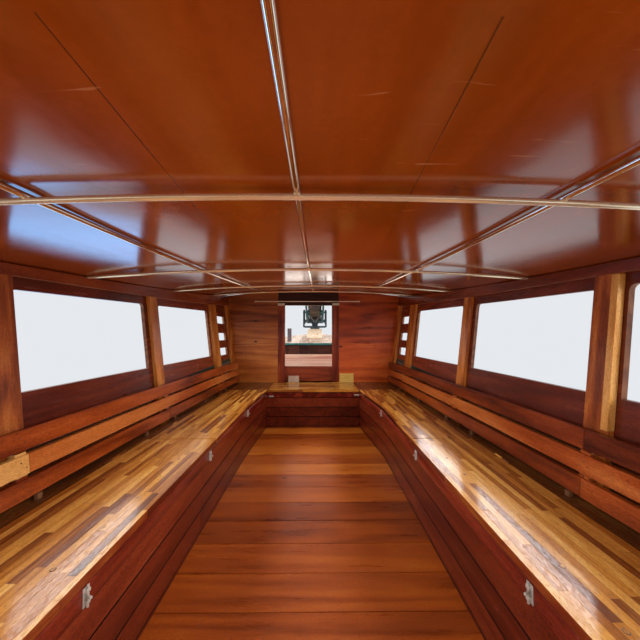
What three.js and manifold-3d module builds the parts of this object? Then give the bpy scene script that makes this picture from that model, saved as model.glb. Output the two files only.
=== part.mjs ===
// A wooden longtail boat with a roofed passenger cabin and its engine on a swivelling yoke at the stern.
// Millimetres. +X is the bow, +Y is port, +Z is up, and the origin is amidships on the waterline.
import * as THREE from 'three';
import { mergeVertices } from 'three/addons/utils/BufferGeometryUtils.js';
import Module from 'manifold-3d';

const wasm = await Module();
wasm.setup();

const GAP = 0.4; // between pieces that rest on each other
const PLANK = 30; // hull planking
const PORT = 1;
const STARBOARD = -1;
const SIDES = [[PORT, 'port'], [STARBOARD, 'starboard']];

// Hull lines. beam is the half breadth at the sheer, and the bilge columns place the section's
// control point as a share of that breadth and of the depth from keel to sheer.
const HULL_COLUMNS = ['x', 'keel', 'sheer', 'beam', 'bilgeOut', 'bilgeUp'];
const HULL_TABLE = [
  [-6500, 30, 1024, 540, 0.89, 0.25],
  [-5400, -185, 955, 865, 0.92, 0.18],
  [-4300, -308, 860, 1060, 0.95, 0.11],
  [-3500, -360, 780, 1145, 0.96, 0.07],
  [-2000, -400, 700, 1177, 0.97, 0.05],
  [0, -410, 660, 1190, 0.97, 0.05],
  [2000, -400, 700, 1130, 0.96, 0.07],
  [3300, -360, 800, 980, 0.93, 0.13],
  [4400, -270, 970, 750, 0.84, 0.24],
  [5300, -80, 1220, 470, 0.70, 0.36],
  [5900, 220, 1460, 250, 0.58, 0.46],
  [6350, 750, 1680, 110, 0.50, 0.50],
  [6700, 1350, 1900, 46, 0.50, 0.50],
];
const HULL = HULL_TABLE.map((row) => Object.fromEntries(HULL_COLUMNS.map((name, i) => [name, row[i]])));
const STERN = HULL[0].x;
const STEM = HULL.at(-1).x;
const STRAKES = 8; // facets from keel to sheer
const BILGE_STRAKE = 3; // the bottom planking ends here and the side planking begins

// Outside timbers
const KEEL_DEPTH = 70;
const KEEL_HALF = 38;
const STEM_START = 4400;
const STEM_DEPTH = 95;
const STEM_HALF = 34;
const PROW_TIP = [6960, 2650];
const CAP_HIGH = 35;
const CAP_IN = 50;
const CAP_OUT = 25;
const RUB_DEEP = 60; // the cap's outer leg, a rubbing strip down the planking
const RUB_BED = 4; // bedding between the rubbing strip and the planking
const CAP_LENGTHS = [['aft', STERN, 0], ['fore', GAP, STEM - 2]]; // the caps are butted amidships
const TRANSOM_THICK = 40;

// Cabin
const CABIN_AFT = -3500;
const CABIN_FORE = 3300;
const BULKHEAD_THICK = 25;
const SOLE_TOP = 30;
const SOLE_THICK = 25;
const SOLE_FORE = 4390;
const SOLE_EDGE = 12; // open joint along the planking
const WALL_THICK = 22;
const FLARE = 0.12; // outward lean of the cabin sides
const POST_THICK = 25;
const RAIL_MIN = 45;
const SEAT_TOP = 470;
const SEAT_THICK = 28;
const AISLE_HALF = { port: 637, starboard: 587 }; // the port bench is the narrower one
const AISLE_AFT_HALF = 541;
const AISLE_CURVE_X = -2000;
const AFT_BENCH_X = -2924;
const BENCH_FORE = 2870;
const FRONT_THICK = 20;
const LID_LIP = 12;
const LID_GAP = 6;
const LID_CLEAR = 5; // between a closed lid and the frame under it
const HINGE_RADIUS = 5;
const HINGE_BARREL = 60;
const SLAT_THICK = 22;
const BATTEN_THICK = 18;
const BATTEN_WIDE = 46;
const SLATS = [[490, 560], [578, 650], [668, 744]]; // foot and head of each backrest slat
const SILL = 873;
const WINDOW_HEAD = 1299;
const WINDOW_RISE = 0.035; // the heads rise towards the stern
const WINDOW_ROUND = 22;
// Aft and forward edge of each window
const WINDOWS = [[-2724, -1651], [-1442, -446], [-304, 684], [828, 1816], [1960, 2948]];
// Aft and forward edge of each post of the cabin sides
const POSTS = [
  [-3495, -3370], [-2965, -2780], [-1595, -1488], [-430, -322], [702, 810], [1834, 1942], [3010, 3118],
];
const PANEL_JOINTS = [-1541.5, 756]; // the side panels butt behind these posts
const SLOTS = { x: [-3294, -3024], feet: [860, 1044, 1252], high: 90 }; // ventilation holes, one above another
const LIDS = [[-2905, -1137], [-1131, 867], [873, 2870]]; // aft and forward end of each side lid
const DOOR = { y: [-393, 250], head: 1516, post: 95 };
const FORE_DOOR = { y: [-400, 400], head: 1340, post: 60 };

// Roof
const ROOF_LOW = 1376; // the lowest bow's height on the centreline
const ROOF_LOW_X = 2300;
const ROOF_CURVE = 0.0000093;
const BOW_CAMBER = 50;
const SKIN_CAMBER = 62;
const SKIN_THICK = 12;
const SKIN_LIFT = 18.9; // underside of the skin above the bows' centres
const ROOF_SEAT = 2.5; // the skin bears on the pipes, just clear of the walls
const PIPE = 7.5;
const PIPE_LAP = 11.5; // height of the long pipes above the bows
const BOW_FIRST = -2944;
const BOW_PITCH = 1040;
const BOW_COUNT = 6;
const LONG_PIPES = [-600, 0, 600];
const EAVES = 85;
const ROOF_AFT = -3740;
const ROOF_FORE = 3560;

// Stern
const RAMP = { aft: -4299.6, fore: -3560, low: 680, high: 800, riser: 478, thick: 25 };
const DECK_AFT_TOP = 1150; // on the centreline
const DECK_FORE_TOP = 980;
const DECK_CROWN = 60; // drop from the centreline to the edge at the transom, none at the front board
const DECK_FORE = -4300;
const DECK_THICK = 28;
const DECK_INSET = 10; // the deck's edge, inside the hull's outer face
const KINGPIN_X = -6050;
const PEDESTAL = { aft: -6240, head: -5790, toe: -5130, half: 145, toeHigh: 45, top: 1235 };
const MOORING_POST = { x: [-4625, -4560], y: [390, 455], top: 1221 };
const KINGPIN = 30;
const KINGPIN_DEEP = 90;

// Drive, laid out along its own shaft line and then tilted about the trunnions
const TRUNNION_Z = 1600;
const TILT = THREE.MathUtils.degToRad(19.5);
const TAIL_END = -4700;
const PROP_X = -4960;

const LOOKS = {
  planking: [0x7a3a1f, 0.45, 0], timber: [0x8a4a28, 0.5, 0], cap: [0x2f8f8c, 0.4, 0],
  varnish: [0xa85a22, 0.25, 0], seat: [0xc48a3c, 0.2, 0], dark: [0x5a2015, 0.35, 0], roof: [0x6b2f17, 0.25, 0],
  pipe: [0xb9a98c, 0.35, 0.8], deck: [0xb59a74, 0.6, 0], steel: [0x2c3236, 0.5, 0.6], engine: [0x4a3a2e, 0.6, 0.5],
  bright: [0xb8b8b4, 0.35, 0.9], bronze: [0xa88a50, 0.35, 0.9],
};
const boat = new THREE.Group();

// Solids

function solid(geometry) {
  const bare = new THREE.BufferGeometry();
  bare.setAttribute('position', geometry.getAttribute('position'));
  if (geometry.index) bare.setIndex(geometry.index);
  const merged = mergeVertices(bare, 1e-3);
  return new wasm.Manifold(new wasm.Mesh({
    numProp: 3,
    vertProperties: new Float32Array(merged.getAttribute('position').array),
    triVerts: new Uint32Array(merged.index.array),
  }));
}

const join = (...solids) => solids.reduce((whole, piece) => whole.add(piece));
const cut = (whole, ...tools) => tools.reduce((left, tool) => left.subtract(tool), whole);

function add(name, piece, look, parent = boat) {
  const { vertProperties, triVerts } = piece.getMesh();
  const geometry = new THREE.BufferGeometry();
  geometry.setAttribute('position', new THREE.BufferAttribute(new Float32Array(vertProperties), 3));
  geometry.setIndex(new THREE.BufferAttribute(new Uint32Array(triVerts), 1));
  geometry.computeVertexNormals();
  const [color, roughness, metalness] = LOOKS[look];
  const material = new THREE.MeshStandardMaterial({ color, roughness, metalness, flatShading: true });
  const mesh = new THREE.Mesh(geometry, material);
  mesh.name = name;
  parent.add(mesh);
  return mesh;
}

function box([x0, x1], [y0, y1], [z0, z1]) {
  const geometry = new THREE.BoxGeometry(Math.abs(x1 - x0), Math.abs(y1 - y0), Math.abs(z1 - z0));
  return solid(geometry.translate((x0 + x1) / 2, (y0 + y1) / 2, (z0 + z1) / 2));
}

function rod(from, to, radius, sides = 10, endRadius = radius) {
  const a = new THREE.Vector3(...from);
  const b = new THREE.Vector3(...to);
  const geometry = new THREE.CylinderGeometry(endRadius, radius, a.distanceTo(b), sides);
  const turn = new THREE.Quaternion().setFromUnitVectors(new THREE.Vector3(0, 1, 0), b.clone().sub(a).normalize());
  return solid(geometry.applyQuaternion(turn).translate(...a.add(b).multiplyScalar(0.5)));
}

// A chain of rods with a ball at each bend
function pipe(points, radius, sides = 8) {
  const pieces = points.slice(1).map((point, i) => rod(points[i], point, radius, sides));
  const balls = points.slice(1, -1).map((point) => (
    solid(new THREE.SphereGeometry(radius * 1.02, sides, 6).translate(...point))));
  return join(...pieces, ...balls);
}

// A closed solid through rings of [x, y, z] points, with its ends filled
function loft(rings) {
  const first = rings[0].map((p) => new THREE.Vector3(...p));
  const last = rings.at(-1).map((p) => new THREE.Vector3(...p));
  const normal = new THREE.Vector3();
  first.forEach((p, i) => normal.add(p.clone().cross(first[(i + 1) % first.length])));
  const travel = last[0].clone().sub(first[0]);
  const turned = normal.dot(travel) < 0 ? rings.map((ring) => [...ring].reverse()) : rings;
  const count = first.length;
  const faces = [];
  for (let r = 0; r + 1 < turned.length; r += 1) {
    for (let i = 0; i < count; i += 1) {
      const [a, b] = [r * count + i, r * count + ((i + 1) % count)];
      faces.push(a, b + count, a + count, a, b, b + count);
    }
  }
  const caps = ringFaces(turned[0]);
  caps.forEach(([a, b, c]) => faces.push(a, c, b));
  const top = (turned.length - 1) * count;
  ringFaces(turned.at(-1)).forEach(([a, b, c]) => faces.push(top + a, top + b, top + c));
  const geometry = new THREE.BufferGeometry();
  geometry.setAttribute('position', new THREE.BufferAttribute(new Float32Array(turned.flat(2)), 3));
  geometry.setIndex(faces);
  return solid(geometry);
}

// Triangles that fill one ring, each turned the same way as the ring
function ringFaces(ring) {
  const points = ring.map((p) => new THREE.Vector3(...p));
  const normal = new THREE.Vector3();
  points.forEach((p, i) => normal.add(p.clone().cross(points[(i + 1) % points.length])));
  normal.normalize();
  const u = new THREE.Vector3(normal.y, normal.z, normal.x).cross(normal).normalize();
  const v = normal.clone().cross(u);
  const flat = points.map((p) => new THREE.Vector2(p.dot(u), p.dot(v)));
  return THREE.ShapeUtils.triangulateShape(flat, []).map(([a, b, c]) => {
    const turn = flat[b].clone().sub(flat[a]).cross(flat[c].clone().sub(flat[a]));
    return turn > 0 ? [a, b, c] : [a, c, b];
  });
}

// An outline in Y and Z, run along X
function acrossPlate(outline, x0, x1) {
  return loft([x0, x1].map((x) => outline.map(([y, z]) => [x, y, z])));
}

// An outline in X and Z, run along Y
function sidePlate(outline, y0, y1) {
  return loft([y0, y1].map((y) => outline.map(([x, z]) => [x, y, z])));
}

function roundedRect([x0, x1], [z0, z1], radius, steps = 4) {
  const centres = [[x1, z1, 0], [x0, z1, 1], [x0, z0, 2], [x1, z0, 3]];
  return centres.flatMap(([x, z, quarter]) => Array.from({ length: steps + 1 }, (_, i) => {
    const angle = (quarter + i / steps) * Math.PI / 2;
    const inX = x === x1 ? x - radius : x + radius;
    const inZ = z === z1 ? z - radius : z + radius;
    return [inX + radius * Math.cos(angle), inZ + radius * Math.sin(angle)];
  }));
}

// A window's outline: square at the sill, rounded at both ends of its head, which may slope
function windowShape([x0, x1], foot, [head0, head1]) {
  const lift = (x) => (head1 - head0) * (x - x0) / (x1 - x0);
  const arcs = roundedRect([x0, x1], [foot, head0], WINDOW_ROUND).slice(0, 10);
  return [...arcs.map(([x, z]) => [x, z + lift(x)]), [x0, foot], [x1, foot]];
}

// Hull form

function fair(column, x) {
  const last = HULL.length - 1;
  const i = Math.min(Math.max(HULL.findIndex((row) => row.x > x) - 1, 0), last - 1);
  const at = x >= HULL[last].x ? last - 1 : i;
  const slope = (k) => {
    const [a, b] = [HULL[Math.max(k - 1, 0)], HULL[Math.min(k + 1, last)]];
    return (b[column] - a[column]) / (b.x - a.x);
  };
  const span = HULL[at + 1].x - HULL[at].x;
  const t = (x - HULL[at].x) / span;
  return (2 * t ** 3 - 3 * t ** 2 + 1) * HULL[at][column] + (t ** 3 - 2 * t ** 2 + t) * span * slope(at)
    + (3 * t ** 2 - 2 * t ** 3) * HULL[at + 1][column] + (t ** 3 - t ** 2) * span * slope(at + 1);
}

// Each station has the half section from keel to sheer, outside and inside the planking.
function halfSection(x, inset) {
  const [keel, sheer, beam] = ['keel', 'sheer', 'beam'].map((column) => fair(column, x));
  const out = beam * fair('bilgeOut', x);
  const up = (sheer - keel) * fair('bilgeUp', x);
  const lift = inset * Math.hypot(out, up) / out;
  const [p0, p1, p2] = [
    [0, keel + lift], [Math.max(out - inset, 12), keel + up + inset / 2], [Math.max(beam - inset, 14), sheer],
  ];
  return Array.from({ length: STRAKES + 1 }, (_, i) => {
    const t = i / STRAKES;
    return [0, 1].map((k) => (1 - t) ** 2 * p0[k] + 2 * t * (1 - t) * p1[k] + t ** 2 * p2[k]);
  });
}

const STATIONS = HULL.flatMap((row, i) => (i ? [(HULL[i - 1].x + row.x) / 2, row.x] : [row.x]));
const FRAMES = STATIONS.map((x) => ({ x, outer: halfSection(x, 0), inner: halfSection(x, PLANK) }));

// The half section at any x, along the straight planks between stations
function sectionAt(x, face) {
  const i = Math.min(Math.max(FRAMES.findIndex((frame) => frame.x > x) - 1, 0), FRAMES.length - 2);
  const at = x >= STEM ? FRAMES.length - 2 : i;
  const t = (x - FRAMES[at].x) / (FRAMES[at + 1].x - FRAMES[at].x);
  return FRAMES[at][face].map(([y, z], k) => {
    const next = FRAMES[at + 1][face][k];
    return [y + (next[0] - y) * t, z + (next[1] - z) * t];
  });
}

const keelZ = (x) => sectionAt(x, 'outer')[0][1];
const sheerZ = (x) => sectionAt(x, 'outer').at(-1)[1];
const beamY = (x) => sectionAt(x, 'outer').at(-1)[0];

// Half breadth inside the planking at a height
function insideY(x, z) {
  const points = sectionAt(x, 'inner');
  const above = points.findIndex((p) => p[1] > z);
  const k = above < 0 ? points.length - 1 : Math.max(above, 1);
  const [a, b] = [points[k - 1], points[k]];
  return a[0] + (b[0] - a[0]) * THREE.MathUtils.clamp((z - a[1]) / (b[1] - a[1]), 0, 1);
}

// The ends of a span with the stations between them, so that pieces follow the same straight planks
const along = (x0, x1) => [x0, ...STATIONS.filter((x) => x > x0 + 1 && x < x1 - 1), x1];

// A height that runs straight between the stations
function straight(height) {
  return (x) => {
    const i = Math.max(STATIONS.findIndex((station) => station > x), 1);
    const [a, b] = [STATIONS[i - 1], STATIONS[i]];
    return height(a) + (height(b) - height(a)) * (x - a) / (b - a);
  };
}

// A strip along the boat: section(x) gives its outline in Y and Z
function strip(x0, x1, section) {
  return loft(along(x0, x1).map((x) => section(x).map(([y, z]) => [x, y, z])));
}

// Planking on both sides of the keel, up to a strake's edge
function bottomPlanks(x0, x1, topStrake) {
  return strip(x0, x1, (x) => {
    const [outer, inner] = ['outer', 'inner'].map((face) => sectionAt(x, face).slice(0, topStrake + 1));
    const outside = [...outer.slice(1).reverse().map(([y, z]) => [-y, z]), ...outer];
    return [...outside, ...inner.slice(1).reverse(), ...inner.map(([y, z]) => [-y, z])];
  });
}

// Planking of one side, from just above a strake's edge to the sheer
function sidePlanks(x0, x1, footStrake, side) {
  return strip(x0, x1, (x) => {
    const [outer, inner] = ['outer', 'inner'].map((face) => {
      const points = sectionAt(x, face).slice(footStrake);
      const [low, next] = points;
      const share = GAP / Math.hypot(next[0] - low[0], next[1] - low[1]);
      return [low.map((v, k) => v + (next[k] - v) * share), ...points.slice(1)];
    });
    return [...outer, ...inner.reverse()].map(([y, z]) => [side * y, z]);
  });
}

function makeHull() {
  add('hull_bottom', bottomPlanks(STERN, STEM_START, BILGE_STRAKE), 'planking');
  add('hull_bow', bottomPlanks(STEM_START + GAP, STEM, STRAKES), 'planking');
  add('keel', strip(-6400, STEM_START, (x) => {
    const z = keelZ(x) - GAP;
    return [[-KEEL_HALF, z - KEEL_DEPTH], [KEEL_HALF, z - KEEL_DEPTH], [KEEL_HALF, z], [-KEEL_HALF, z]];
  }), 'timber');
  const inner = along(STEM_START + GAP, STEM).map((x) => [x, keelZ(x) - GAP]);
  inner.push([STEM + 2 * GAP, keelZ(STEM) - GAP], [STEM + 2 * GAP, 1960], PROW_TIP);
  const outer = inner.map(([x, z], i) => {
    const [a, b] = [inner[Math.max(i - 1, 0)], inner[Math.min(i + 1, inner.length - 1)]];
    const long = Math.hypot(b[0] - a[0], b[1] - a[1]);
    return [x + STEM_DEPTH * (b[1] - a[1]) / long, z - STEM_DEPTH * (b[0] - a[0]) / long];
  });
  outer[0] = [inner[0][0], inner[0][1] - KEEL_DEPTH];
  add('stem_post', sidePlate([...inner, ...outer.reverse()], -STEM_HALF, STEM_HALF), 'timber');

  const end = sectionAt(STERN, 'outer');
  const under = DECK_AFT_TOP - DECK_THICK - GAP;
  const drop = DECK_CROWN * end.at(-1)[0] / (end.at(-1)[0] - DECK_INSET);
  const rim = [...end, [end.at(-1)[0], under - drop]];
  const outline = [...rim.slice(1).reverse().map(([y, z]) => [-y, z]), ...rim, [0, under]];
  add('transom', acrossPlate(outline, STERN - TRANSOM_THICK, STERN - GAP), 'timber');

  SIDES.forEach(([side, name]) => {
    add(`hull_side_${name}`, sidePlanks(STERN, STEM_START, BILGE_STRAKE, side), 'planking');
    CAP_LENGTHS.forEach(([place, x0, x1]) => add(`gunwale_${name}_${place}`, strip(x0, x1, (x) => {
      const [inY, bedY] = [Math.max(beamY(x) - CAP_IN, STEM_HALF + 2), beamY(x) + RUB_BED];
      const outY = bedY + CAP_OUT;
      const z = sheerZ(x) + GAP;
      const [low, high] = sectionAt(x, 'outer').slice(-2);
      const lean = (high[0] - low[0]) * RUB_DEEP / (high[1] - low[1]);
      return [
        [inY, z], [bedY, z], [bedY - lean, z - RUB_DEEP], [outY - lean, z - RUB_DEEP],
        [outY, z + CAP_HIGH], [inY + CAP_HIGH * FLARE, z + CAP_HIGH],
      ].map(([y, up]) => [side * y, up]);
    }), 'cap'));
  });
}

// Bow and stern decks

function makeBow() {
  add('fore_deck', strip(STEM_START + GAP, 6500, (x) => {
    const [low, high] = [sheerZ(x) - DECK_THICK, sheerZ(x) - GAP / 2];
    const y = insideY(x, low) - 2;
    return [[-y, low], [y, low], [y, high], [-y, high]];
  }), 'deck');
  const [x0, x1, half, top] = [4870, 4980, 55, 1420];
  const foot = (x) => sheerZ(x) + GAP;
  const post = loft([-half, half].map((y) => [[x0, y, foot(x0)], [x1, y, foot(x1)], [x1, y, top], [x0, y, top]]));
  const pin = rod([(x0 + x1) / 2, -150, 1330], [(x0 + x1) / 2, 150, 1330], 18);
  add('bow_bitt', join(post, pin), 'timber');
}

const deckShare = (x) => (DECK_FORE - x) / (DECK_FORE - STERN);
const deckTop = (x) => DECK_FORE_TOP + (DECK_AFT_TOP - DECK_FORE_TOP) * deckShare(x);
const deckEdge = (x) => deckTop(x) - DECK_CROWN * deckShare(x);

function makeStern() {
  const slope = (x) => RAMP.low + (RAMP.high - RAMP.low) * (RAMP.fore - x) / (RAMP.fore - RAMP.aft);
  const planks = strip(RAMP.aft, RAMP.fore, (x) => {
    const [low, high] = [slope(x) - RAMP.thick, slope(x)];
    const y = insideY(x, low) - 2;
    return [[-y, low], [y, low], [y, high], [-y, high]];
  });
  const riserY = insideY(RAMP.fore, RAMP.riser) - 3;
  const riser = box([RAMP.fore - RAMP.thick, RAMP.fore - GAP], [-riserY, riserY], [RAMP.riser, RAMP.low - 5]);
  add('stern_planks', join(planks, riser), 'varnish');

  const plate = strip(STERN - TRANSOM_THICK, DECK_FORE + 20, (x) => {
    const y = beamY(Math.max(x, STERN)) - DECK_INSET;
    const [middle, edge] = [deckTop(x), deckEdge(x)];
    return [
      [-y, edge - DECK_THICK], [0, middle - DECK_THICK], [y, edge - DECK_THICK], [y, edge], [0, middle], [-y, edge],
    ];
  });
  const coamings = SIDES.map(([side]) => strip(STERN, DECK_FORE, (x) => {
    const [inY, outY] = [beamY(x) - 45, beamY(x) - 15];
    const [low, high] = [sheerZ(x) + CAP_HIGH + 2 * GAP, deckEdge(x) - 5];
    return [[inY, low], [outY, low], [outY, high], [inY, high]].map(([y, z]) => [side * y, z]);
  }));
  const frontY = beamY(DECK_FORE) - 80;
  const front = box([DECK_FORE - 25, DECK_FORE], [-frontY, frontY], [RAMP.high - 60, DECK_FORE_TOP - 5]);
  const posts = SIDES.map(([side]) => {
    const [[x0, x1], [y0, y1]] = [MOORING_POST.x, MOORING_POST.y];
    return box([x0, x1], [side * y0, side * y1], [deckEdge(x1) - DECK_THICK / 2, MOORING_POST.top]);
  });
  add('stern_deck', join(plate, ...coamings, front, ...posts), 'deck');

  const { aft, head, toe, half, toeHigh, top } = PEDESTAL;
  const bed = (x) => deckTop(x) + GAP;
  const block = sidePlate([[aft, bed(aft)], [toe, bed(toe)], [toe, bed(toe) + toeHigh], [head, top], [aft, top]],
    -half, half);
  const bore = rod([KINGPIN_X, 0, top - KINGPIN_DEEP - 1], [KINGPIN_X, 0, top + 1], KINGPIN + 1, 24);
  add('engine_pedestal', cut(block, bore), 'deck');
}

// Cabin shape

const roofZ = (x) => ROOF_LOW + ROOF_CURVE * (x - ROOF_LOW_X) ** 2;
const wallY = (x, z) => beamY(x) - CAP_IN + (z - sheerZ(x)) * FLARE;
const edgeY = (x) => wallY(x, roofZ(x) - 36);
const skinZ = (x, y) => roofZ(x) + SKIN_LIFT - SKIN_CAMBER * (Math.abs(y) / edgeY(x)) ** 3;
const bowZ = (x, y) => roofZ(x) - BOW_CAMBER * (Math.abs(y) / edgeY(x)) ** 2;
const wallHead = straight((x) => skinZ(x, edgeY(x) + WALL_THICK) - 2);
const railHead = straight((x) => skinZ(x, edgeY(x)) - ROOF_SEAT);
const railFoot = straight((x) => Math.min(1345 + 0.0000085 * (x - 900) ** 2, railHead(x) - RAIL_MIN));
const windowHead = (x) => Math.min(WINDOW_HEAD + WINDOW_RISE * Math.max(WINDOWS[1][1] - x, 0), railFoot(x) - 12);
const slatY = (x, z) => wallY(x, z) - GAP - POST_THICK - GAP - BATTEN_THICK - SLAT_THICK;
const aisleY = (x, half) => {
  const t = THREE.MathUtils.clamp((AISLE_CURVE_X - x) / (AISLE_CURVE_X - AFT_BENCH_X), 0, 1);
  return half + (AISLE_AFT_HALF - half) * t;
};

// A leaning board against the cabin side: its inner and outer face as distances inside the wall
function leaning(x, side, low, high, inner, outer) {
  const [lowY, highY] = [wallY(x, low), wallY(x, high)];
  return [[lowY - inner, low], [lowY - outer, low], [highY - outer, high], [highY - inner, high]]
    .map(([y, z]) => [side * y, z]);
}

// One panel of the cabin side between two joints, with its windows, ventilation slots and posts
function sidePanel([start, end], side) {
  const wallFoot = (x) => sheerZ(x) + CAP_HIGH + 2 * GAP;
  const wall = strip(start, end, (x) => leaning(x, side, wallFoot(x), wallHead(x), 0, -WALL_THICK));
  const within = ([x0]) => x0 >= start && x0 < end;
  const through = (outline) => sidePlate(outline, side * 900, side * 1500);
  const holes = WINDOWS.filter(within).map(([x0, x1]) => (
    through(windowShape([x0, x1], SILL, [windowHead(x0), windowHead(x1)]))));
  const slots = SLOTS.feet.filter(() => within(SLOTS.x)).map((z) => (
    through(roundedRect(SLOTS.x, [z, z + SLOTS.high], 8, 1))));
  const posts = POSTS.filter(within).map(([x0, x1]) => {
    const post = strip(x0, x1, (x) => leaning(x, side, SEAT_TOP + GAP, railFoot(x) - GAP, POST_THICK + GAP, GAP));
    const glue = strip(x0, Math.min(x1, end), (x) => (
      leaning(x, side, wallFoot(x) + 10, railFoot(x) - 10, POST_THICK / 2, -WALL_THICK / 2)));
    return join(post, glue);
  });
  return join(cut(wall, ...holes, ...slots), ...posts);
}

function makeSides() {
  const joints = [CABIN_AFT + GAP, ...PANEL_JOINTS, CABIN_FORE];
  SIDES.forEach(([side, name]) => {
    joints.slice(1).forEach((end, i) => {
      add(`side_panel_${name}_${i + 1}`, sidePanel([joints[i], end - GAP], side), 'dark');
    });
    const scarf = PANEL_JOINTS[1];
    [['aft', CABIN_AFT + GAP, scarf], ['fore', scarf + GAP, CABIN_FORE - GAP]].forEach(([place, x0, x1]) => {
      add(`cabin_rail_${name}_${place}`, strip(x0, x1, (x) => (
        leaning(x, side, railFoot(x), railHead(x), POST_THICK + GAP, GAP))), 'varnish');
    });

    const board = (x, low, high, out) => [
      [slatY(x, low), low], [slatY(x, low) + out, low], [slatY(x, high) + out, high], [slatY(x, high), high],
    ].map(([y, z]) => [side * y, z]);
    const slats = SLATS.map(([low, high]) => (
      strip(CABIN_AFT + 2, BENCH_FORE + 120, (x) => board(x, low, high, SLAT_THICK))));
    const battens = POSTS.slice(0, -1).map(([x0, x1]) => {
      const middle = (x0 + x1) / 2;
      return strip(middle - BATTEN_WIDE / 2, middle + BATTEN_WIDE / 2, (x) => {
        const inner = board(x, SLATS[0][0] + 4, SLATS[2][1] - 4, SLAT_THICK / 2);
        const outer = board(x, SLATS[0][0] + 4, SLATS[2][1] - 4, SLAT_THICK + BATTEN_THICK);
        return [inner[1], outer[1], outer[2], inner[2]];
      });
    });
    add(`backrest_${name}`, join(...slats, ...battens), 'varnish');
  });
}

// Benches. Each lid turns about the centre of the hinge barrels at its back edge.

const lidHinge = ([x0, x1]) => Math.min(slatY(x0, SLATS[0][0]), slatY(x1, SLATS[0][0])) - 30;

function makeBenches() {
  const [low, high] = [SEAT_TOP - SEAT_THICK, SEAT_TOP];
  const frontTop = low - LID_CLEAR;
  const edge = HINGE_RADIUS + 1;
  const barrels = ([x0, x1]) => [x0 + 260, x1 - 260 - 2 * HINGE_BARREL];

  SIDES.forEach(([side, name]) => {
    const aisle = AISLE_HALF[name];
    const faceY = (x) => aisleY(x, aisle);
    const flip = (outline) => outline.map(([y, z]) => [side * y, z]);
    const front = strip(AFT_BENCH_X - FRONT_THICK, BENCH_FORE, (x) => flip(
      [[faceY(x), SOLE_TOP + GAP], [faceY(x) + FRONT_THICK, SOLE_TOP + GAP],
        [faceY(x) + FRONT_THICK, frontTop], [faceY(x), frontTop]]));
    const closing = strip(BENCH_FORE - FRONT_THICK, BENCH_FORE, (x) => flip(
      [[aisle + 2, SOLE_TOP + GAP], [insideY(x, SOLE_TOP) - 4, SOLE_TOP + GAP],
        [insideY(x, 200) - 4, 200], [insideY(x, frontTop) - 4, frontTop], [aisle + 2, frontTop]]));
    add(`bench_front_${name}`, join(front, closing), 'dark');

    const strips = LIDS.map((lid) => strip(lid[0] - LID_GAP, lid[1] + 2, (x) => flip(
      [[lidHinge(lid) + edge, low], [insideY(x, low) - 2, low],
        [insideY(x, low) - 2, high], [lidHinge(lid) + edge, high]])));
    const corner = strip(CABIN_AFT + GAP, LIDS[0][0] - LID_GAP + 1, (x) => flip(
      [[AISLE_AFT_HALF, low], [insideY(x, low) - 2, low], [insideY(x, low) - 2, high], [AISLE_AFT_HALF, high]]));
    const ears = LIDS.flatMap((lid) => barrels(lid).map((x) => {
      const y = side * lidHinge(lid);
      const x0 = x + HINGE_BARREL + 0.5;
      const leaf = box([x0, x0 + HINGE_BARREL], [y, y + side * (edge + 3)], [high - 4, high - 0.5]);
      return join(rod([x0, y, high], [x0 + HINGE_BARREL, y, high], HINGE_RADIUS, 8), leaf);
    }));
    add(`bench_seat_${name}`, join(...strips, corner, ...ears), 'seat');

    LIDS.forEach((lid, i) => {
      const y = lidHinge(lid);
      const top = strip(lid[0], lid[1] - LID_GAP, (x) => flip(
        [[faceY(x) - LID_LIP, low], [y - edge, low], [y - edge, high], [faceY(x) - LID_LIP, high]]));
      const knuckles = barrels(lid).map((x) => {
        const leaf = box([x, x + HINGE_BARREL], [side * (y - edge - 3), side * y], [high - 4, high - 0.5]);
        return join(rod([x, side * y, high], [x + HINGE_BARREL, side * y, high], HINGE_RADIUS, 8), leaf);
      });
      add(`bench_lid_${name}_${i + 1}`, join(top, ...knuckles), 'seat');
    });
  });

  const half = AISLE_AFT_HALF - 1;
  add('aft_bench_front', box([AFT_BENCH_X - FRONT_THICK, AFT_BENCH_X], [-half, half], [SOLE_TOP + GAP, frontTop]),
    'dark');
  // Aft bench: the sill board under the doorway carries a ledge with the hinge barrels, and the lid is before it
  const hingeX = CABIN_AFT + 50;
  const lidHalf = AISLE_AFT_HALF - LID_GAP;
  const back = box([CABIN_AFT + GAP, hingeX - edge], [-lidHalf, lidHalf], [low, high]);
  const backEars = [-300, 300].map((y) => join(
    rod([hingeX, y + 0.5, high], [hingeX, y + HINGE_BARREL, high], HINGE_RADIUS, 8),
    box([hingeX - edge - 3, hingeX], [y + 0.5, y + HINGE_BARREL], [high - 4, high - 0.5])));
  const sillY = [DOOR.y[0] - DOOR.post + GAP, DOOR.y[1] + DOOR.post - GAP];
  const sill = box([CABIN_AFT - BULKHEAD_THICK, CABIN_AFT], sillY, [-40, SEAT_TOP - 2]);
  const nailing = box([CABIN_AFT - 5, CABIN_AFT + 5], [sillY[0] + 5, sillY[1] - 5], [low, SEAT_TOP - 2]);
  add('aft_sill_board', join(sill, nailing, back, ...backEars), 'seat');
  const lid = box([hingeX + edge, AFT_BENCH_X + LID_LIP], [-lidHalf, lidHalf], [low, high]);
  const knuckles = [-300, 300].map((y) => join(
    rod([hingeX, y - HINGE_BARREL, high], [hingeX, y, high], HINGE_RADIUS, 8),
    box([hingeX, hingeX + edge + 3], [y - HINGE_BARREL, y], [high - 4, high - 0.5])));
  add('aft_bench_lid', join(lid, ...knuckles), 'seat');
}

// End walls

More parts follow.
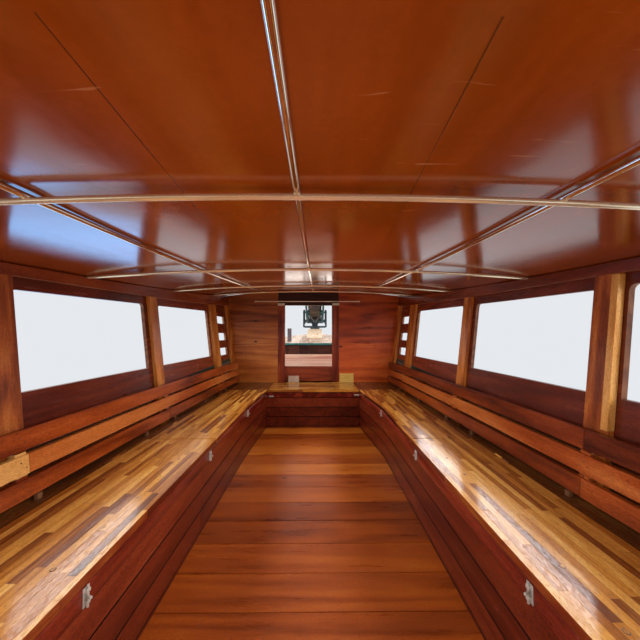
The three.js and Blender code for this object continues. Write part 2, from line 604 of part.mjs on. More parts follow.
function endWall(x, side, doorY, foot, head) {
  const heights = [foot, 180, SEAT_TOP, sheerZ(x)].filter((z, i) => !i || z > foot + 20);
  const outer = heights.map((z) => [Math.min(insideY(x, z), wallY(x, z)) - 3 * GAP, z]);
  outer.push([wallY(x, head(edgeY(x))) - 3 * GAP, head(edgeY(x))]);
  const inner = [1, 0.5, 0].map((t) => {
    const y = doorY + (edgeY(x) - doorY) * t;
    return [y, head(y)];
  }).slice(1);
  return [...outer, ...inner, [doorY, foot]].map(([y, z]) => [side * y, z]);
}

function makeEnds() {
  const roofAt = (x) => (y) => skinZ(x, y) - ROOF_SEAT;
  const aftHead = (y) => Math.min(roofAt(CABIN_AFT)(y), roofAt(CABIN_AFT - BULKHEAD_THICK)(y));
  const aft = [CABIN_AFT - BULKHEAD_THICK, CABIN_AFT];
  const foreHead = (y) => Math.min(roofAt(CABIN_FORE)(y), roofAt(CABIN_FORE + BULKHEAD_THICK)(y));
  const fore = [CABIN_FORE, CABIN_FORE + BULKHEAD_THICK];
  const leaf = (x, side, doorY, foot, head, span) => acrossPlate(endWall(x, side, doorY, foot, head), ...span);

  SIDES.forEach(([side, name]) => {
    const doorEdge = side === PORT ? DOOR.y[1] : -DOOR.y[0];
    add(`aft_bulkhead_${name}`, leaf(aft[0], side, doorEdge + DOOR.post, -40, aftHead, aft), 'varnish');
    const panel = leaf(fore[1], side, FORE_DOOR.y[1] + FORE_DOOR.post, SOLE_TOP + GAP, foreHead, fore);
    const pane = acrossPlate(windowShape([560, 860], SILL, [1230, 1230]).map(([y, z]) => [side * y, z]),
      fore[0] - 5, fore[1] + 5);
    add(`fore_bulkhead_${name}`, cut(panel, pane), 'varnish');
  });

  // Door frames: two posts and the board over the opening, standing on the sill board or the sole
  const frame = ({ y, head, post }, foot, top, x0, x1) => {
    const outline = [
      [y[0] - post + GAP, foot], [y[0], foot], [y[0], head], [y[1], head], [y[1], foot], [y[1] + post - GAP, foot],
      [y[1] + post - GAP, top(y[1] + post)], [0, top(0)], [y[0] - post + GAP, top(y[0] - post)],
    ];
    return acrossPlate(outline, x0, x1);
  };
  add('aft_door_frame', frame(DOOR, SEAT_TOP - 2 + GAP, aftHead, aft[0] - 30, aft[1]), 'dark');
  add('fore_door_frame', frame(FORE_DOOR, SOLE_TOP + GAP, foreHead, fore[0], fore[1] + 20), 'dark');
}

function makeSole() {
  add('cabin_sole', strip(CABIN_AFT + GAP, SOLE_FORE, (x) => {
    const y = insideY(x, SOLE_TOP - SOLE_THICK) - SOLE_EDGE;
    return [[-y, SOLE_TOP - SOLE_THICK], [y, SOLE_TOP - SOLE_THICK], [y, SOLE_TOP], [-y, SOLE_TOP]];
  }), 'varnish');
}

function makeRoof() {
  const steps = [-1, -0.86, -0.66, -0.46, -0.23, 0, 0.23, 0.46, 0.66, 0.86, 1];
  const spread = (x) => steps.map((s) => s * (edgeY(THREE.MathUtils.clamp(x, CABIN_AFT, CABIN_FORE)) + EAVES));
  add('roof_skin', strip(ROOF_AFT, ROOF_FORE, (x) => {
    const under = spread(x).map((y) => [y, skinZ(x, y)]);
    return [...under, ...[...under].reverse().map(([y, z]) => [y, z + SKIN_THICK])];
  }), 'roof');

  const bows = Array.from({ length: BOW_COUNT }, (_, i) => {
    const x = BOW_FIRST + i * BOW_PITCH;
    const reach = wallY(x, bowZ(x, edgeY(x))) - POST_THICK - 6 * GAP;
    const points = [-1, -0.75, -0.5, -0.25, 0, 0.25, 0.5, 0.75, 1].map((s) => [x, s * reach, bowZ(x, s * reach)]);
    return tube(points, [1, 0, 0]);
  });
  const longs = LONG_PIPES.map((y) => {
    const points = along(CABIN_AFT + 2, CABIN_FORE - 2).map((x) => [x, y, bowZ(x, y) + PIPE_LAP]);
    return tube(points, [0, 1, 0]);
  });
  add('roof_pipes', join(...bows, ...longs), 'pipe');
}

// A round pipe through points that lie in one plane with the given normal
function tube(points, planeNormal, sides = 8) {
  const across = new THREE.Vector3(...planeNormal);
  return loft(points.map((point, i) => {
    const a = new THREE.Vector3(...points[Math.max(i - 1, 0)]);
    const b = new THREE.Vector3(...points[Math.min(i + 1, points.length - 1)]);
    const up = b.sub(a).normalize().cross(across);
    return Array.from({ length: sides }, (_, k) => {
      const angle = (k + 0.5) / sides * 2 * Math.PI;
      const at = new THREE.Vector3(...point).addScaledVector(across, PIPE * Math.cos(angle));
      return at.addScaledVector(up, PIPE * Math.sin(angle)).toArray();
    });
  }));
}

// Drive

function makeYoke() {
  const yoke = new THREE.Group();
  yoke.position.set(KINGPIN_X, 0, 0);
  const base = PEDESTAL.top + 1;
  const [half, arm, beamTop, armTop] = [255, 45, 1420, 1655];
  const outline = [
    [-half, base + 45], [-half + 40, base + 30], [half - 40, base + 30], [half, base + 45], [half, armTop - 20],
    [half - 15, armTop], [half - arm + 10, armTop], [half - arm, armTop - 20], [half - arm, beamTop + 30],
    [half - arm - 35, beamTop], [-half + arm + 35, beamTop], [-half + arm, beamTop + 30], [-half + arm, armTop - 20],
    [-half + arm - 10, armTop], [-half + 15, armTop], [-half, armTop - 20],
  ];
  const frame = acrossPlate(outline, -25, 25);
  const arches = [-1, 1].map((side) => {
    const arch = [[220, base + 68], [62, base + 68], [62, base + 100], [85, base + 146], [141, base + 170],
      [197, base + 146], [220, base + 100]];
    return acrossPlate(arch.map(([y, z]) => [side * y, z]), -40, 40);
  });
  const bores = [-1, 1].map((side) => rod([0, side * 190, TRUNNION_Z], [0, side * 270, TRUNNION_Z], 21, 24));
  const hub = rod([0, 0, base], [0, 0, base + 60], 100, 20);
  const pin = rod([0, 0, base - KINGPIN_DEEP], [0, 0, base + 10], KINGPIN, 20);
  add('swivel_yoke', join(cut(frame, ...arches, ...bores), hub, pin), 'steel', yoke);
  boat.add(yoke);
}

function makeDrive() {
  const drive = new THREE.Group();
  drive.position.set(KINGPIN_X, 0, TRUNNION_Z);
  drive.rotation.y = -TILT;
  const addTo = (name, piece, look) => add(name, piece, look, drive);

  // Cradle: two rails, cross members, the bell plate and the trunnions
  const rails = [-1, 1].map((side) => box([-330, 720], [side * 152, side * 190], [-125, -75]));
  const crossX = [[-330, -301], [240, 290], [670, 720]];
  const crosses = crossX.map((x) => box(x, [-160, 160], [-125, -95]));
  const cheeks = [-1, 1].map((side) => sidePlate([[-70, -80], [70, -80], [45, 30], [-45, 30]],
    side * 160, side * 188));
  const trunnions = [-1, 1].map((side) => rod([0, side * 170, 0], [0, side * 258, 0], 20, 20));
  const bell = cut(box([-330, -300], [-175, 175], [-100, 190]), rod([-340, 0, 0], [-290, 0, 0], 48, 20));
  addTo('engine_cradle', join(...rails, ...crosses, ...cheeks, ...trunnions, bell), 'steel');

  // Engine: block with its ribs and sump, bell housing behind
  const block = box([-120, 600], [-125, 125], [-70, 230]);
  const ribs = [0, 130, 260, 390, 520].map((x) => box([x, x + 22], [-138, 138], [-60, 215]));
  const sump = box([-60, 590], [-110, 110], [-93, -60]);
  const pan = sidePlate([[310, -80], [310, -200], [340, -230], [570, -230], [600, -200], [600, -80]], -100, 100);
  const housing = rod([-299.6, 0, 10], [-110, 0, 10], 150, 20, 128);
  const feet = [-1, 1].flatMap((side) => [90, 500].map((x) => (
    box([x, x + 70], [side * 110, side * 185], [-75 + GAP, -50]))));
  addTo('engine_block', join(block, ...ribs, sump, pan, housing, ...feet), 'engine');

  const head = box([-80, 580], [-115, 105], [230 + GAP, 330]);
  const cover = sidePlate([[-60, 330], [560, 330], [545, 385], [520, 400], [-20, 400], [-45, 385]], -70, 70);
  const coverBlock = join(head, cover, rod([430, 0, 395], [430, 0, 425], 26, 12));
  addTo('engine_head', coverBlock, 'bright');

  const crank = rod([600 + GAP, 0, 0], [645, 0, 0], 85, 20);
  const boss = rod([640, 0, 0], [668, 0, 0], 30, 12);
  const waterPump = rod([600 + GAP, 0, 190], [650, 0, 190], 62, 16);
  const belt = box([608, 632], [-60, 60], [0, 190]);
  addTo('belt_drive', join(crank, boss, waterPump, belt), 'steel');

  // Exhaust: manifold along the port side, then up and aft
  const manifold = box([0, 520], [138 + GAP, 205], [150, 215]);
  const riser = pipe([[60, 172, 200], [60, 172, 420], [-40, 172, 560], [-330, 172, 640]], 30, 10);
  addTo('exhaust', join(manifold, riser), 'engine');

  // Air cleaner: a round can on its intake elbow, starboard
  const intake = pipe([[330, -125 - GAP, 180], [330, -200, 180], [330, -240, 260]], 30, 10);
  const can = rod([330, -240, 235], [330, -240, 385], 95, 20);
  addTo('air_cleaner', join(intake, can), 'steel');

  // Tiller: clamped to the front cross member, reaching forward over the stern deck
  const tillerPath = [[720 + GAP, 0, -110], [1150, 0, -120], [1800, 0, -300]];
  const plate = box([720 + GAP, 745], [-70, 70], [-150, -70]);
  const grip = rod([1790, -170, -297], [1790, 170, -297], 20, 10);
  addTo('tiller', join(pipe(tillerPath, 24, 10), plate, grip), 'steel');

  // Tail: the tube that carries the propeller shaft, its flange, brace, fin and end bearing
  const tubeBody = rod([TAIL_END, 0, 0], [-331, 0, 0], 36, 14);
  const flange = rod([-352, 0, 0], [-330 - GAP, 0, 0], 90, 20);
  const bearing = rod([TAIL_END - 60, 0, 0], [TAIL_END + 120, 0, 0], 46, 14);
  const brace = pipe([[-345, 0, 150], [-700, 0, 140], [-2500, 0, 20]], 14, 8);
  const braceFoot = box([-352, -330 - GAP], [-40, 40], [60, 180]);
  const fin = sidePlate([[TAIL_END - 40, -30], [TAIL_END + 260, -30], [TAIL_END + 120, -210], [TAIL_END, -210]], -7, 7);
  const bore = rod([TAIL_END - 70, 0, 0], [TAIL_END + 110, 0, 0], 17, 16);
  addTo('tail_tube', cut(join(tubeBody, flange, bearing, brace, braceFoot, fin), bore), 'steel');

  const shaft = rod([PROP_X - 60, 0, 0], [TAIL_END + 100, 0, 0], 16, 16);
  const hub = rod([PROP_X - 45, 0, 0], [PROP_X + 45, 0, 0], 34, 16);
  const cone = rod([PROP_X - 44, 0, 0], [PROP_X - 95, 0, 0], 30, 16, 8);
  const blades = [0, 1, 2].map((i) => propBlade(i * 2 * Math.PI / 3));
  addTo('propeller', join(shaft, hub, cone, ...blades), 'bronze');
  boat.add(drive);
}

// One blade, as sections from root to tip: radius, chord, pitch angle and thickness
const BLADE = [[25, 70, 62, 12], [70, 105, 46, 9], [120, 120, 34, 6], [165, 60, 28, 3]];

function propBlade(turn) {
  return loft(BLADE.map(([radius, chord, pitch, thick]) => {
    const angle = THREE.MathUtils.degToRad(pitch);
    const corners = [[-1, 0], [-0.4, -1], [0.4, -1], [1, 0], [0.4, 1], [-0.4, 1]];
    return corners.map(([c, t]) => {
      const [along1, across1] = [c * chord / 2, t * thick / 2];
      const x = PROP_X + along1 * Math.sin(angle) + across1 * Math.cos(angle);
      const w = along1 * Math.cos(angle) - across1 * Math.sin(angle);
      const [y, z] = [w * Math.cos(turn) - radius * Math.sin(turn), w * Math.sin(turn) + radius * Math.cos(turn)];
      return [x, y, z];
    });
  }));
}

makeHull();
makeBow();
makeStern();
makeSole();
makeBenches();
makeSides();
makeEnds();
makeRoof();
makeYoke();
makeDrive();

export default boat;
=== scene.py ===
import math

import bpy
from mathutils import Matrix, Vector, noise


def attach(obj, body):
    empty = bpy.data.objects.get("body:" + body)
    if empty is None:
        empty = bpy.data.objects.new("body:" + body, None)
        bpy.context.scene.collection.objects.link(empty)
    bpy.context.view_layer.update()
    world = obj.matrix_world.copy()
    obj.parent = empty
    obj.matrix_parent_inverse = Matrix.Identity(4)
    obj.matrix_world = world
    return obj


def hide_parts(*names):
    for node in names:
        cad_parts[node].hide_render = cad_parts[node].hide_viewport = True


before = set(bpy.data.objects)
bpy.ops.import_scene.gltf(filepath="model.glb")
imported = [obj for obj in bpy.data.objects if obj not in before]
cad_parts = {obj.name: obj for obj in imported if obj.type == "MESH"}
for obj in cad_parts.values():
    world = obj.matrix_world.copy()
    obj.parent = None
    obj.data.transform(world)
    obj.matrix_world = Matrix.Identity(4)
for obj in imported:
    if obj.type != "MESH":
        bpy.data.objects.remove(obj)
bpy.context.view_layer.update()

bpy.ops.object.select_all(action="DESELECT")


# Hull planking: eight hardwood strakes a side from the keel to the sheer, nailed to the frames and caulked.
# Every seam is a shallow groove. The planks are oiled red-brown, and the top strake is painted white.

HULL = [  # x, keel, sheer, half breadth at the sheer, bilge out and up as shares
    (-6.50, 0.03, 1.024, 0.540, 0.89, 0.25), (-5.40, -0.185, 0.955, 0.865, 0.92, 0.18),
    (-4.30, -0.308, 0.86, 1.060, 0.95, 0.11), (-3.50, -0.36, 0.78, 1.145, 0.96, 0.07),
    (-2.00, -0.40, 0.70, 1.177, 0.97, 0.05), (0.00, -0.41, 0.66, 1.190, 0.97, 0.05),
    (2.00, -0.40, 0.70, 1.130, 0.96, 0.07), (3.30, -0.36, 0.80, 0.980, 0.93, 0.13),
    (4.40, -0.27, 0.97, 0.750, 0.84, 0.24), (5.30, -0.08, 1.22, 0.470, 0.70, 0.36),
    (5.90, 0.22, 1.46, 0.250, 0.58, 0.46), (6.35, 0.75, 1.68, 0.110, 0.50, 0.50),
    (6.70, 1.35, 1.90, 0.046, 0.50, 0.50),
]
STRAKES = 8
SEAM_HALF, SEAM_DEPTH = 0.004, 0.005


def faired(column, x):
    """A hull measure at any place along the boat, on a smooth line through the table."""
    last = len(HULL) - 1
    k = next((i for i in range(1, last) if HULL[i][0] > x), last) - 1
    before, start, end, after = (HULL[i] for i in (max(k - 1, 0), k, k + 1, min(k + 2, last)))
    leaving, arriving = ((b[column] - a[column]) / (b[0] - a[0]) for a, b in ((before, end), (start, after)))
    span = end[0] - start[0]
    t = (x - start[0]) / span
    return ((2 * t ** 3 - 3 * t ** 2 + 1) * start[column] + (t ** 3 - 2 * t ** 2 + t) * span * leaving
            + (3 * t ** 2 - 2 * t ** 3) * end[column] + (t ** 3 - t ** 2) * span * arriving)


def planking_point(x, t):
    """Half breadth and height on the planking, t running from 0 at the keel to 1 at the sheer."""
    keel, sheer, beam, out, up = (faired(column, x) for column in range(1, 6))
    bilge = (beam * out, keel + (sheer - keel) * up)
    return (2 * t * (1 - t) * bilge[0] + t * t * beam,
            (1 - t) ** 2 * keel + 2 * t * (1 - t) * bilge[1] + t * t * sheer)


def pick(*objects):
    """Selects these objects and nothing else."""
    bpy.ops.object.select_all(action="DESELECT")
    for one in objects:
        one.select_set(True)
    bpy.context.view_layer.objects.active = objects[-1]


def edit(piece, action="SELECT"):
    """Goes into edit mode on one piece, with all of it or none of it selected."""
    pick(piece)
    bpy.ops.object.mode_set(mode="EDIT")
    bpy.ops.mesh.select_all(action=action)


def leave():
    bpy.ops.object.mode_set(mode="OBJECT")


def merged_copy(node, name, flat=0.8):
    """A copy of a solid, its loose triangles merged and its flat faces made whole."""
    piece = bpy.data.objects.new(name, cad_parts[node].data.copy())
    bpy.context.collection.objects.link(piece)
    piece.data.materials.clear()
    edit(piece)
    bpy.ops.mesh.customdata_custom_splitnormals_clear()
    bpy.ops.mesh.remove_doubles(threshold=0.0001)
    if flat:
        bpy.ops.mesh.dissolve_limited(angle_limit=math.radians(flat))
    leave()
    return piece


def apply_modifier(piece, kind, **settings):
    pick(piece)
    modifier = piece.modifiers.new(kind.title(), kind)
    for name, value in settings.items():
        setattr(modifier, name, value)
    bpy.ops.object.modifier_apply(modifier=modifier.name)


def smooth(piece, angle):
    pick(piece)
    bpy.ops.object.shade_smooth_by_angle(angle=math.radians(angle))


def round_edges(piece, width=0.002, segments=2, angle=35):
    """Eases the sharp edges, as a plane or a file does, and keeps the flats flat."""
    apply_modifier(piece, "BEVEL", width=width, segments=segments, limit_method="ANGLE",
                   angle_limit=math.radians(angle), use_clamp_overlap=True)
    smooth(piece, 40)
    apply_modifier(piece, "WEIGHTED_NORMAL", keep_sharp=True)
    return piece


def number_boards(piece, value):
    """Gives a board its own number, which its tone and its grain come from."""
    numbers = piece.data.attributes.get("board") or piece.data.attributes.new("board", "FLOAT", "FACE")
    numbers.data.foreach_set("value", [value] * len(piece.data.polygons))


def put(piece, slot, material, *nodes, body="hull", number=None):
    """Gives a finished piece its material, its body and the solids that it stands for."""
    piece.data.materials.clear()
    piece.data.materials.append(material)
    if number or not piece.data.attributes.get("board"):
        number_boards(piece, number or len(piece.name) * 0.37)
    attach(piece, body)
    if nodes:
        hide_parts(*nodes)
    return piece


def dressed(node, name, slot, material, width, segments=2, body="hull", number=None):
    """A solid's own shape with its edges eased, as a finished piece."""
    piece = round_edges(merged_copy(node, name), width, segments)
    return put(piece, slot, material, node, body=body, number=number)


def shade(code):
    """A screen colour code as the linear colour that a shader takes."""
    parts = [int(code[i:i + 2], 16) / 255 for i in (0, 2, 4)]
    return [c / 12.92 if c <= 0.04045 else ((c + 0.055) / 1.055) ** 2.4 for c in parts] + [1.0]


class Value:
    """A socket of a material that takes part in sums."""

    def __init__(self, finish, socket):
        self.finish, self.socket = finish, socket

    def math(self, operation, *others):
        return self.finish.node("Math", {"operation": operation}, dict(enumerate((self, *others))))

    def __add__(self, other):
        return self.math("ADD", other)

    def __sub__(self, other):
        return self.math("SUBTRACT", other)

    def __mul__(self, other):
        return self.math("MULTIPLY", other)

    def __truediv__(self, other):
        return self.math("DIVIDE", other)

    def __rsub__(self, other):
        return self.finish.node("Math", {"operation": "SUBTRACT"}, {0: other, 1: self})

    def __abs__(self):
        return self.math("ABSOLUTE")

    __radd__ = __add__
    __rmul__ = __mul__

    def between(self, low, high, start=0.0, end=1.0):
        """Runs from start to end while this value runs from low to high, and stops there."""
        return self.finish.node("MapRange", {"clamp": True}, {
            "Value": self, "From Min": low, "From Max": high, "To Min": start, "To Max": end})


class Finish:
    """A material under construction, made round one Principled shader."""

    def __init__(self, name, **constants):
        self.material = bpy.data.materials.new(name)
        self.material.use_nodes = True
        self.tree = self.material.node_tree
        self.shader = self.tree.nodes["Principled BSDF"]
        for socket, value in constants.items():
            self.shader.inputs[socket.replace("_", " ")].default_value = value

    def node(self, kind, settings=None, values=None, out=0):
        made = self.tree.nodes.new("ShaderNode" + kind)
        for name, value in (settings or {}).items():
            if name == "stops":
                stops = made.color_ramp.elements
                while len(stops) < len(value):
                    stops.new(0.5)
                for stop, (position, color) in zip(stops, value):
                    stop.position, stop.color = position, color
            else:
                setattr(made, name, value)
        for name, value in (values or {}).items():
            if isinstance(value, Value):
                self.tree.links.new(value.socket, made.inputs[name])
            else:
                made.inputs[name].default_value = value
        return Value(self, made.outputs[out])

    def here(self):
        return self.node("TexCoord", out="Object")

    def place(self, where, scale=(1, 1, 1), turn=(0, 0, 0), shift=(0, 0, 0)):
        return self.node("Mapping", None, {"Vector": where, "Scale": scale, "Rotation": turn,
                                           "Location": shift})

    def stretch(self, where, share, axis):
        """Draws a pattern out along one axis."""
        return self.place(where, [share if letter == axis else 1 for letter in "xyz"])

    def cloud(self, where, scale, detail=2.0, roughness=0.5, distortion=0.0):
        return self.node("TexNoise", None, {"Vector": where, "Scale": scale, "Detail": detail,
                                            "Roughness": roughness, "Distortion": distortion})

    def chance(self, number):
        """A number between 0 and 1 that is as good as drawn by lot."""
        return self.node("TexWhiteNoise", {"noise_dimensions": "1D"}, {"W": number}, out="Value")

    def vector(self, x, y, z=0.0):
        return self.node("CombineXYZ", None, {"X": x, "Y": y, "Z": z})

    def shifted(self, where, shift):
        return self.node("VectorMath", {"operation": "ADD"}, {0: where, 1: shift})

    def mix(self, share, first, second):
        """Two colours by share. Each is a code or a socket."""
        pair = [shade(color) if isinstance(color, str) else color for color in (first, second)]
        return self.node("Mix", {"data_type": "RGBA"}, {0: share, 6: pair[0], 7: pair[1]}, out=2)

    def ramp(self, value, *stops):
        stops = [(position, shade(code)) for position, code in stops]
        return self.node("ValToRGB", {"stops": stops}, {"Fac": value})

    def axes(self, where):
        parts = self.node("SeparateXYZ", None, {0: where})
        return [Value(self, parts.socket.node.outputs[i]) for i in range(3)]

    def done(self, color, roughness=None, height=None, depth=0.001):
        for socket, value in (("Base Color", color), ("Roughness", roughness)):
            if value is not None:
                self.tree.links.new(value.socket, self.shader.inputs[socket])
        if height is not None:
            bump = self.node("Bump", None, {"Height": height, "Distance": depth, "Strength": 1.0})
            self.tree.links.new(bump.socket, self.shader.inputs["Normal"])
        return self.material


GRAIN = 0.09  # how much the grain is drawn out along a board


def timber(name, shades, gloss=(0.3, 0.5), along="x", rings=16, spread=0.35, figure=1.0, knots=(),
           grain=0.00025, worn=0.0):
    """Sawn boards under varnish or oil. shades run from the dark late wood to the pale early wood."""
    look = Finish(name)
    number = look.node("Attribute", {"attribute_name": "board"}, out="Fac")
    luck, other = look.chance(number), look.chance(number + 5.31)
    plain = look.here()
    where = look.shifted(plain, look.vector(luck * 9.0, other * 7.0, luck * 5.0 + other * 3.0))
    log = look.stretch(where, GRAIN, along)
    heart = look.cloud(log, 3.2, 2.0, 0.45, 0.35)
    ring = (heart * rings * math.tau).math("SINE").between(-1, 1)
    fibre = look.cloud(log, 150.0, 3.0, 0.65)
    streak = look.cloud(log, 26.0, 4.0, 0.6, 0.2)
    blotch = look.cloud(plain, 1.7, 3.0, 0.6)
    tone = (ring * 0.26 + fibre * 0.3 + streak * 0.62 - 0.59) * figure + blotch * 0.32 + luck * spread
    tone = tone + (0.33 - spread / 2)
    shades = shades.split()
    count = len(shades) - 1
    color = look.ramp(tone, *[(0.12 + 0.76 * i / count, code) for i, code in enumerate(shades)])
    pore = look.cloud(log, 780.0).between(0.36, 0.5)
    color = look.mix(pore.between(0, 1, 0.55, 0.0), color, shades[0])
    for centre, radius in knots:
        squeezed = look.stretch(look.place(plain, shift=[-c for c in centre]), 0.55, along)
        wobble = look.cloud(plain, 60.0) * radius * 0.8
        distance = look.node("VectorMath", {"operation": "LENGTH"}, {0: squeezed}, out="Value") + wobble
        eye = distance.between(radius * 0.9, radius * 2.0, 1.0, 0.0)
        color = look.mix(eye, color, "2A0B05")
    if worn:
        grey = look.cloud(plain, 6.0, 4.0, 0.7).between(0.42, 0.62, 0.0, worn)
        color = look.mix(grey, color, "A89A86")
    rough = (streak * 0.6 + blotch * 0.4).between(0.3, 0.7, *gloss)
    height = fibre * 0.35 + pore * 0.65 + look.cloud(plain, 9.0) * 1.2
    return look.done(color, rough, height, grain)


def painted(name, codes, gloss=(0.25, 0.45), grain=0.0003, metallic=0.0):
    """Brushed paint, dirty and worn through in places: top coat, its shadow, and what is under it."""
    look = Finish(name, Metallic=metallic)
    plain = look.here()
    brush = look.cloud(look.stretch(plain, 0.12, "x"), 90.0, 3.0, 0.6)
    dirt = look.cloud(plain, 3.2, 5.0, 0.62)
    chip = look.cloud(plain, 24.0, 4.0, 0.7, 0.3) * 0.6 + look.cloud(plain, 5.0) * 0.5
    coat, shadow, under = codes.split()
    color = look.mix(dirt.between(0.35, 0.7), shadow, coat)
    color = look.mix(chip.between(0.67, 0.71), color, under)
    rough = (dirt * 0.7 + brush * 0.3).between(0.3, 0.7, *gloss)
    return look.done(color, rough, brush * 0.6 + chip.between(0.66, 0.7) * -0.9 + dirt * 0.4, grain)


def hull_finish():
    """Oiled strakes, the top one painted white and scuffed, with a dark wet line at the waterline."""
    look = Finish("oiled_planking")
    plain = look.here()
    strake = look.node("Attribute", {"attribute_name": "strake"}, out="Fac")
    log = look.stretch(plain, GRAIN, "x")
    streak = look.cloud(log, 22.0, 4.0, 0.62, 0.3)
    fibre = look.cloud(log, 140.0, 3.0, 0.6)
    blotch = look.cloud(plain, 1.3, 4.0, 0.6)
    tone = streak * 0.6 + fibre * 0.35 + blotch * 0.4 + look.chance(strake) * 0.3 - 0.36
    wood = look.ramp(tone, (0.1, "3A130A"), (0.4, "6B2A14"), (0.65, "8E421F"), (0.9, "A9592F"))
    scuffed = look.cloud(plain, 11.0, 5.0, 0.7, 0.4)
    white = look.mix(blotch.between(0.3, 0.7), "C9C3B4", "ECE8DD")
    white = look.mix(scuffed.between(0.62, 0.68), white, "8A5A3C")
    color = look.mix(strake.between(STRAKES - 0.6, STRAKES - 0.4), wood, white)
    wet = (look.axes(plain)[2] + (blotch - 0.5) * 0.08).between(0.02, 0.09, 1.0, 0.0)
    color = look.mix(wet * 0.55, color, "1E1A12")
    rough = (streak * 0.5 + blotch * 0.5).between(0.3, 0.7, 0.28, 0.5)
    return look.done(color, rough, fibre * 0.4 + streak * 0.3 + scuffed * 0.25, 0.0006)


def plank_hull(node, name):
    """Numbers the strakes from the keel up, and opens the seams between them."""
    piece = merged_copy(node, name, flat=0)
    strakes = []
    for face in piece.data.polygons:
        x, y, z = face.center
        off = [math.dist((abs(y), z), planking_point(x, (i + 0.5) / STRAKES)) for i in range(STRAKES)]
        strakes.append(1 + off.index(min(off)))
    piece.data.attributes.new("strake", "FLOAT", "FACE").data.foreach_set("value", strakes)
    beside = {}
    for face in piece.data.polygons:
        for key in face.edge_keys:
            beside.setdefault(key, []).append(face.index)
    edit(piece, "DESELECT")
    bpy.ops.mesh.select_mode(type="EDGE")
    leave()
    for edge in piece.data.edges:
        pair = [piece.data.polygons[i] for i in beside[edge.key]]
        if len(pair) == 2 and strakes[pair[0].index] != strakes[pair[1].index]:
            normal, middle = pair[0].normal + pair[1].normal, (pair[0].center + pair[1].center) / 2
            edge.select = normal.dot(Vector((0, middle.y, middle.z - 0.5))) > 0 and normal.length > 1.9
    bpy.ops.object.mode_set(mode="EDIT")
    bpy.ops.mesh.bevel(offset=SEAM_HALF, segments=1, affect="EDGES")
    bpy.ops.mesh.select_mode(type="FACE")
    bpy.ops.transform.shrink_fatten(value=-SEAM_DEPTH)
    leave()
    return piece


hull_planks = hull_finish()
for part in ("bottom", "bow", "side_port", "side_starboard"):
    planks = plank_hull("hull_" + part, "planking_" + part)
    smooth(planks, 15)
    put(planks, "hull_paint", hull_planks, "hull_" + part)


# Keel, stem, transom and bow bitt: solid hardwood timbers, oiled dark red-brown.
# They are bolted through the planking, and their edges are eased with a plane.

hardwood = timber("oiled_hardwood", "2E0F07 5A2612 7E3C1E 96522C", (0.32, 0.5))
for node, width in (("keel", 0.004), ("stem_post", 0.006), ("transom", 0.004), ("bow_bitt", 0.006)):
    dressed(node, node + "_timber", "hull_timber", hardwood, width)


# Gunwale caps: a teak rail along each sheer, with a rubbing strip down its outside.
# Each side has two lengths, screwed down on the top strake and painted teal by brush.

teal_paint = painted("teal_paint", "2E8E8B 1D6E6E 7A4A2C")
for side in ("port", "starboard"):
    for length in ("aft", "fore"):
        node = f"gunwale_{side}_{length}"
        dressed(node, node + "_cap", "trim_paint", teal_paint, 0.006, 3)


# Decks: bare weathered boards over the bow and the raised stern, nailed to the deck beams.
# Each board has eased edges and a narrow open seam. The stern deck has a dark front board under a painted
# edge and two grey mooring posts, and carries the pale block that the drive turns on.

def saw(boards, axis, seams, gap):
    """Saws pieces into boards at the seams across one axis."""
    normal = Vector([1.0 if axis == letter else 0.0 for letter in "xyz"])
    sawn = []
    for whole in boards:
        reach = [vertex.co.dot(normal) for vertex in whole.data.vertices]
        inner = [seam for seam in sorted(seams) if min(reach) + 0.002 < seam < max(reach) - 0.002]
        ends = [None, *inner, None]
        for i, (start, end) in enumerate(zip(ends, ends[1:])):
            board = whole.copy()
            board.data = whole.data.copy()
            bpy.context.collection.objects.link(board)
            edit(board)
            for place, shift, waste in ((start, gap / 2, "clear_inner"), (end, -gap / 2, "clear_outer")):
                if place is not None:
                    bpy.ops.mesh.select_all(action="SELECT")
                    bpy.ops.mesh.bisect(plane_co=normal * (place + shift), plane_no=normal, use_fill=True,
                                        **{waste: True})
            leave()
            sawn.append(board)
        bpy.data.objects.remove(whole)
    return sawn


def made(name):
    """What the last command made, under its own name."""
    bpy.context.object.name = name
    return bpy.context.object


def joined(name, pieces):
    pick(*pieces)
    if len(pieces) > 1:
        bpy.ops.object.join()
    return made(name)


def join_boards(boards, name, first):
    """Numbers the boards and makes them one piece again."""
    for i, board in enumerate(boards):
        number_boards(board, first + i)
    return joined(name, boards)


def boarded(node, name, slot, look, axis, seams, gap, first, width):
    """A solid sawn into boards that lie side by side, as one finished piece of the hull."""
    boards = saw([merged_copy(node, name)], axis, seams, gap)
    return put(round_edges(join_boards(boards, name, first), width), slot, look, node)


def restain(piece, rule, *materials):
    """Gives faces materials after the first one. The rule tells a face's place in that list, or 0."""
    for material in materials:
        piece.data.materials.append(material)
    for face in piece.data.polygons:
        face.material_index = int(rule(face))


def pitch(start, step, low, high):
    """Places of seams that are one step apart, counted from a known one."""
    first = math.ceil((low - start) / step)
    return [start + step * i for i in range(first, math.floor((high - start) / step) + 1)]


FRONT_BOARD, DECK_EDGE, DECK_END = -4.31, -4.29, -4.27
POST_AFT, POST_FORE, POST_IN, POST_OUT, POST_FOOT = -4.627, -4.558, 0.388, 0.457, 1.0


def stern_deck_look(face):
    """The front board is stained dark, the deck's edge over it is painted, and the mooring posts are grey."""
    x, y, z = face.center
    if face.normal.x > 0.6 and FRONT_BOARD < x < DECK_END:
        return 2 if x > DECK_EDGE else 1
    return 3 if POST_AFT < x < POST_FORE and POST_IN < abs(y) < POST_OUT and z > POST_FOOT else 0


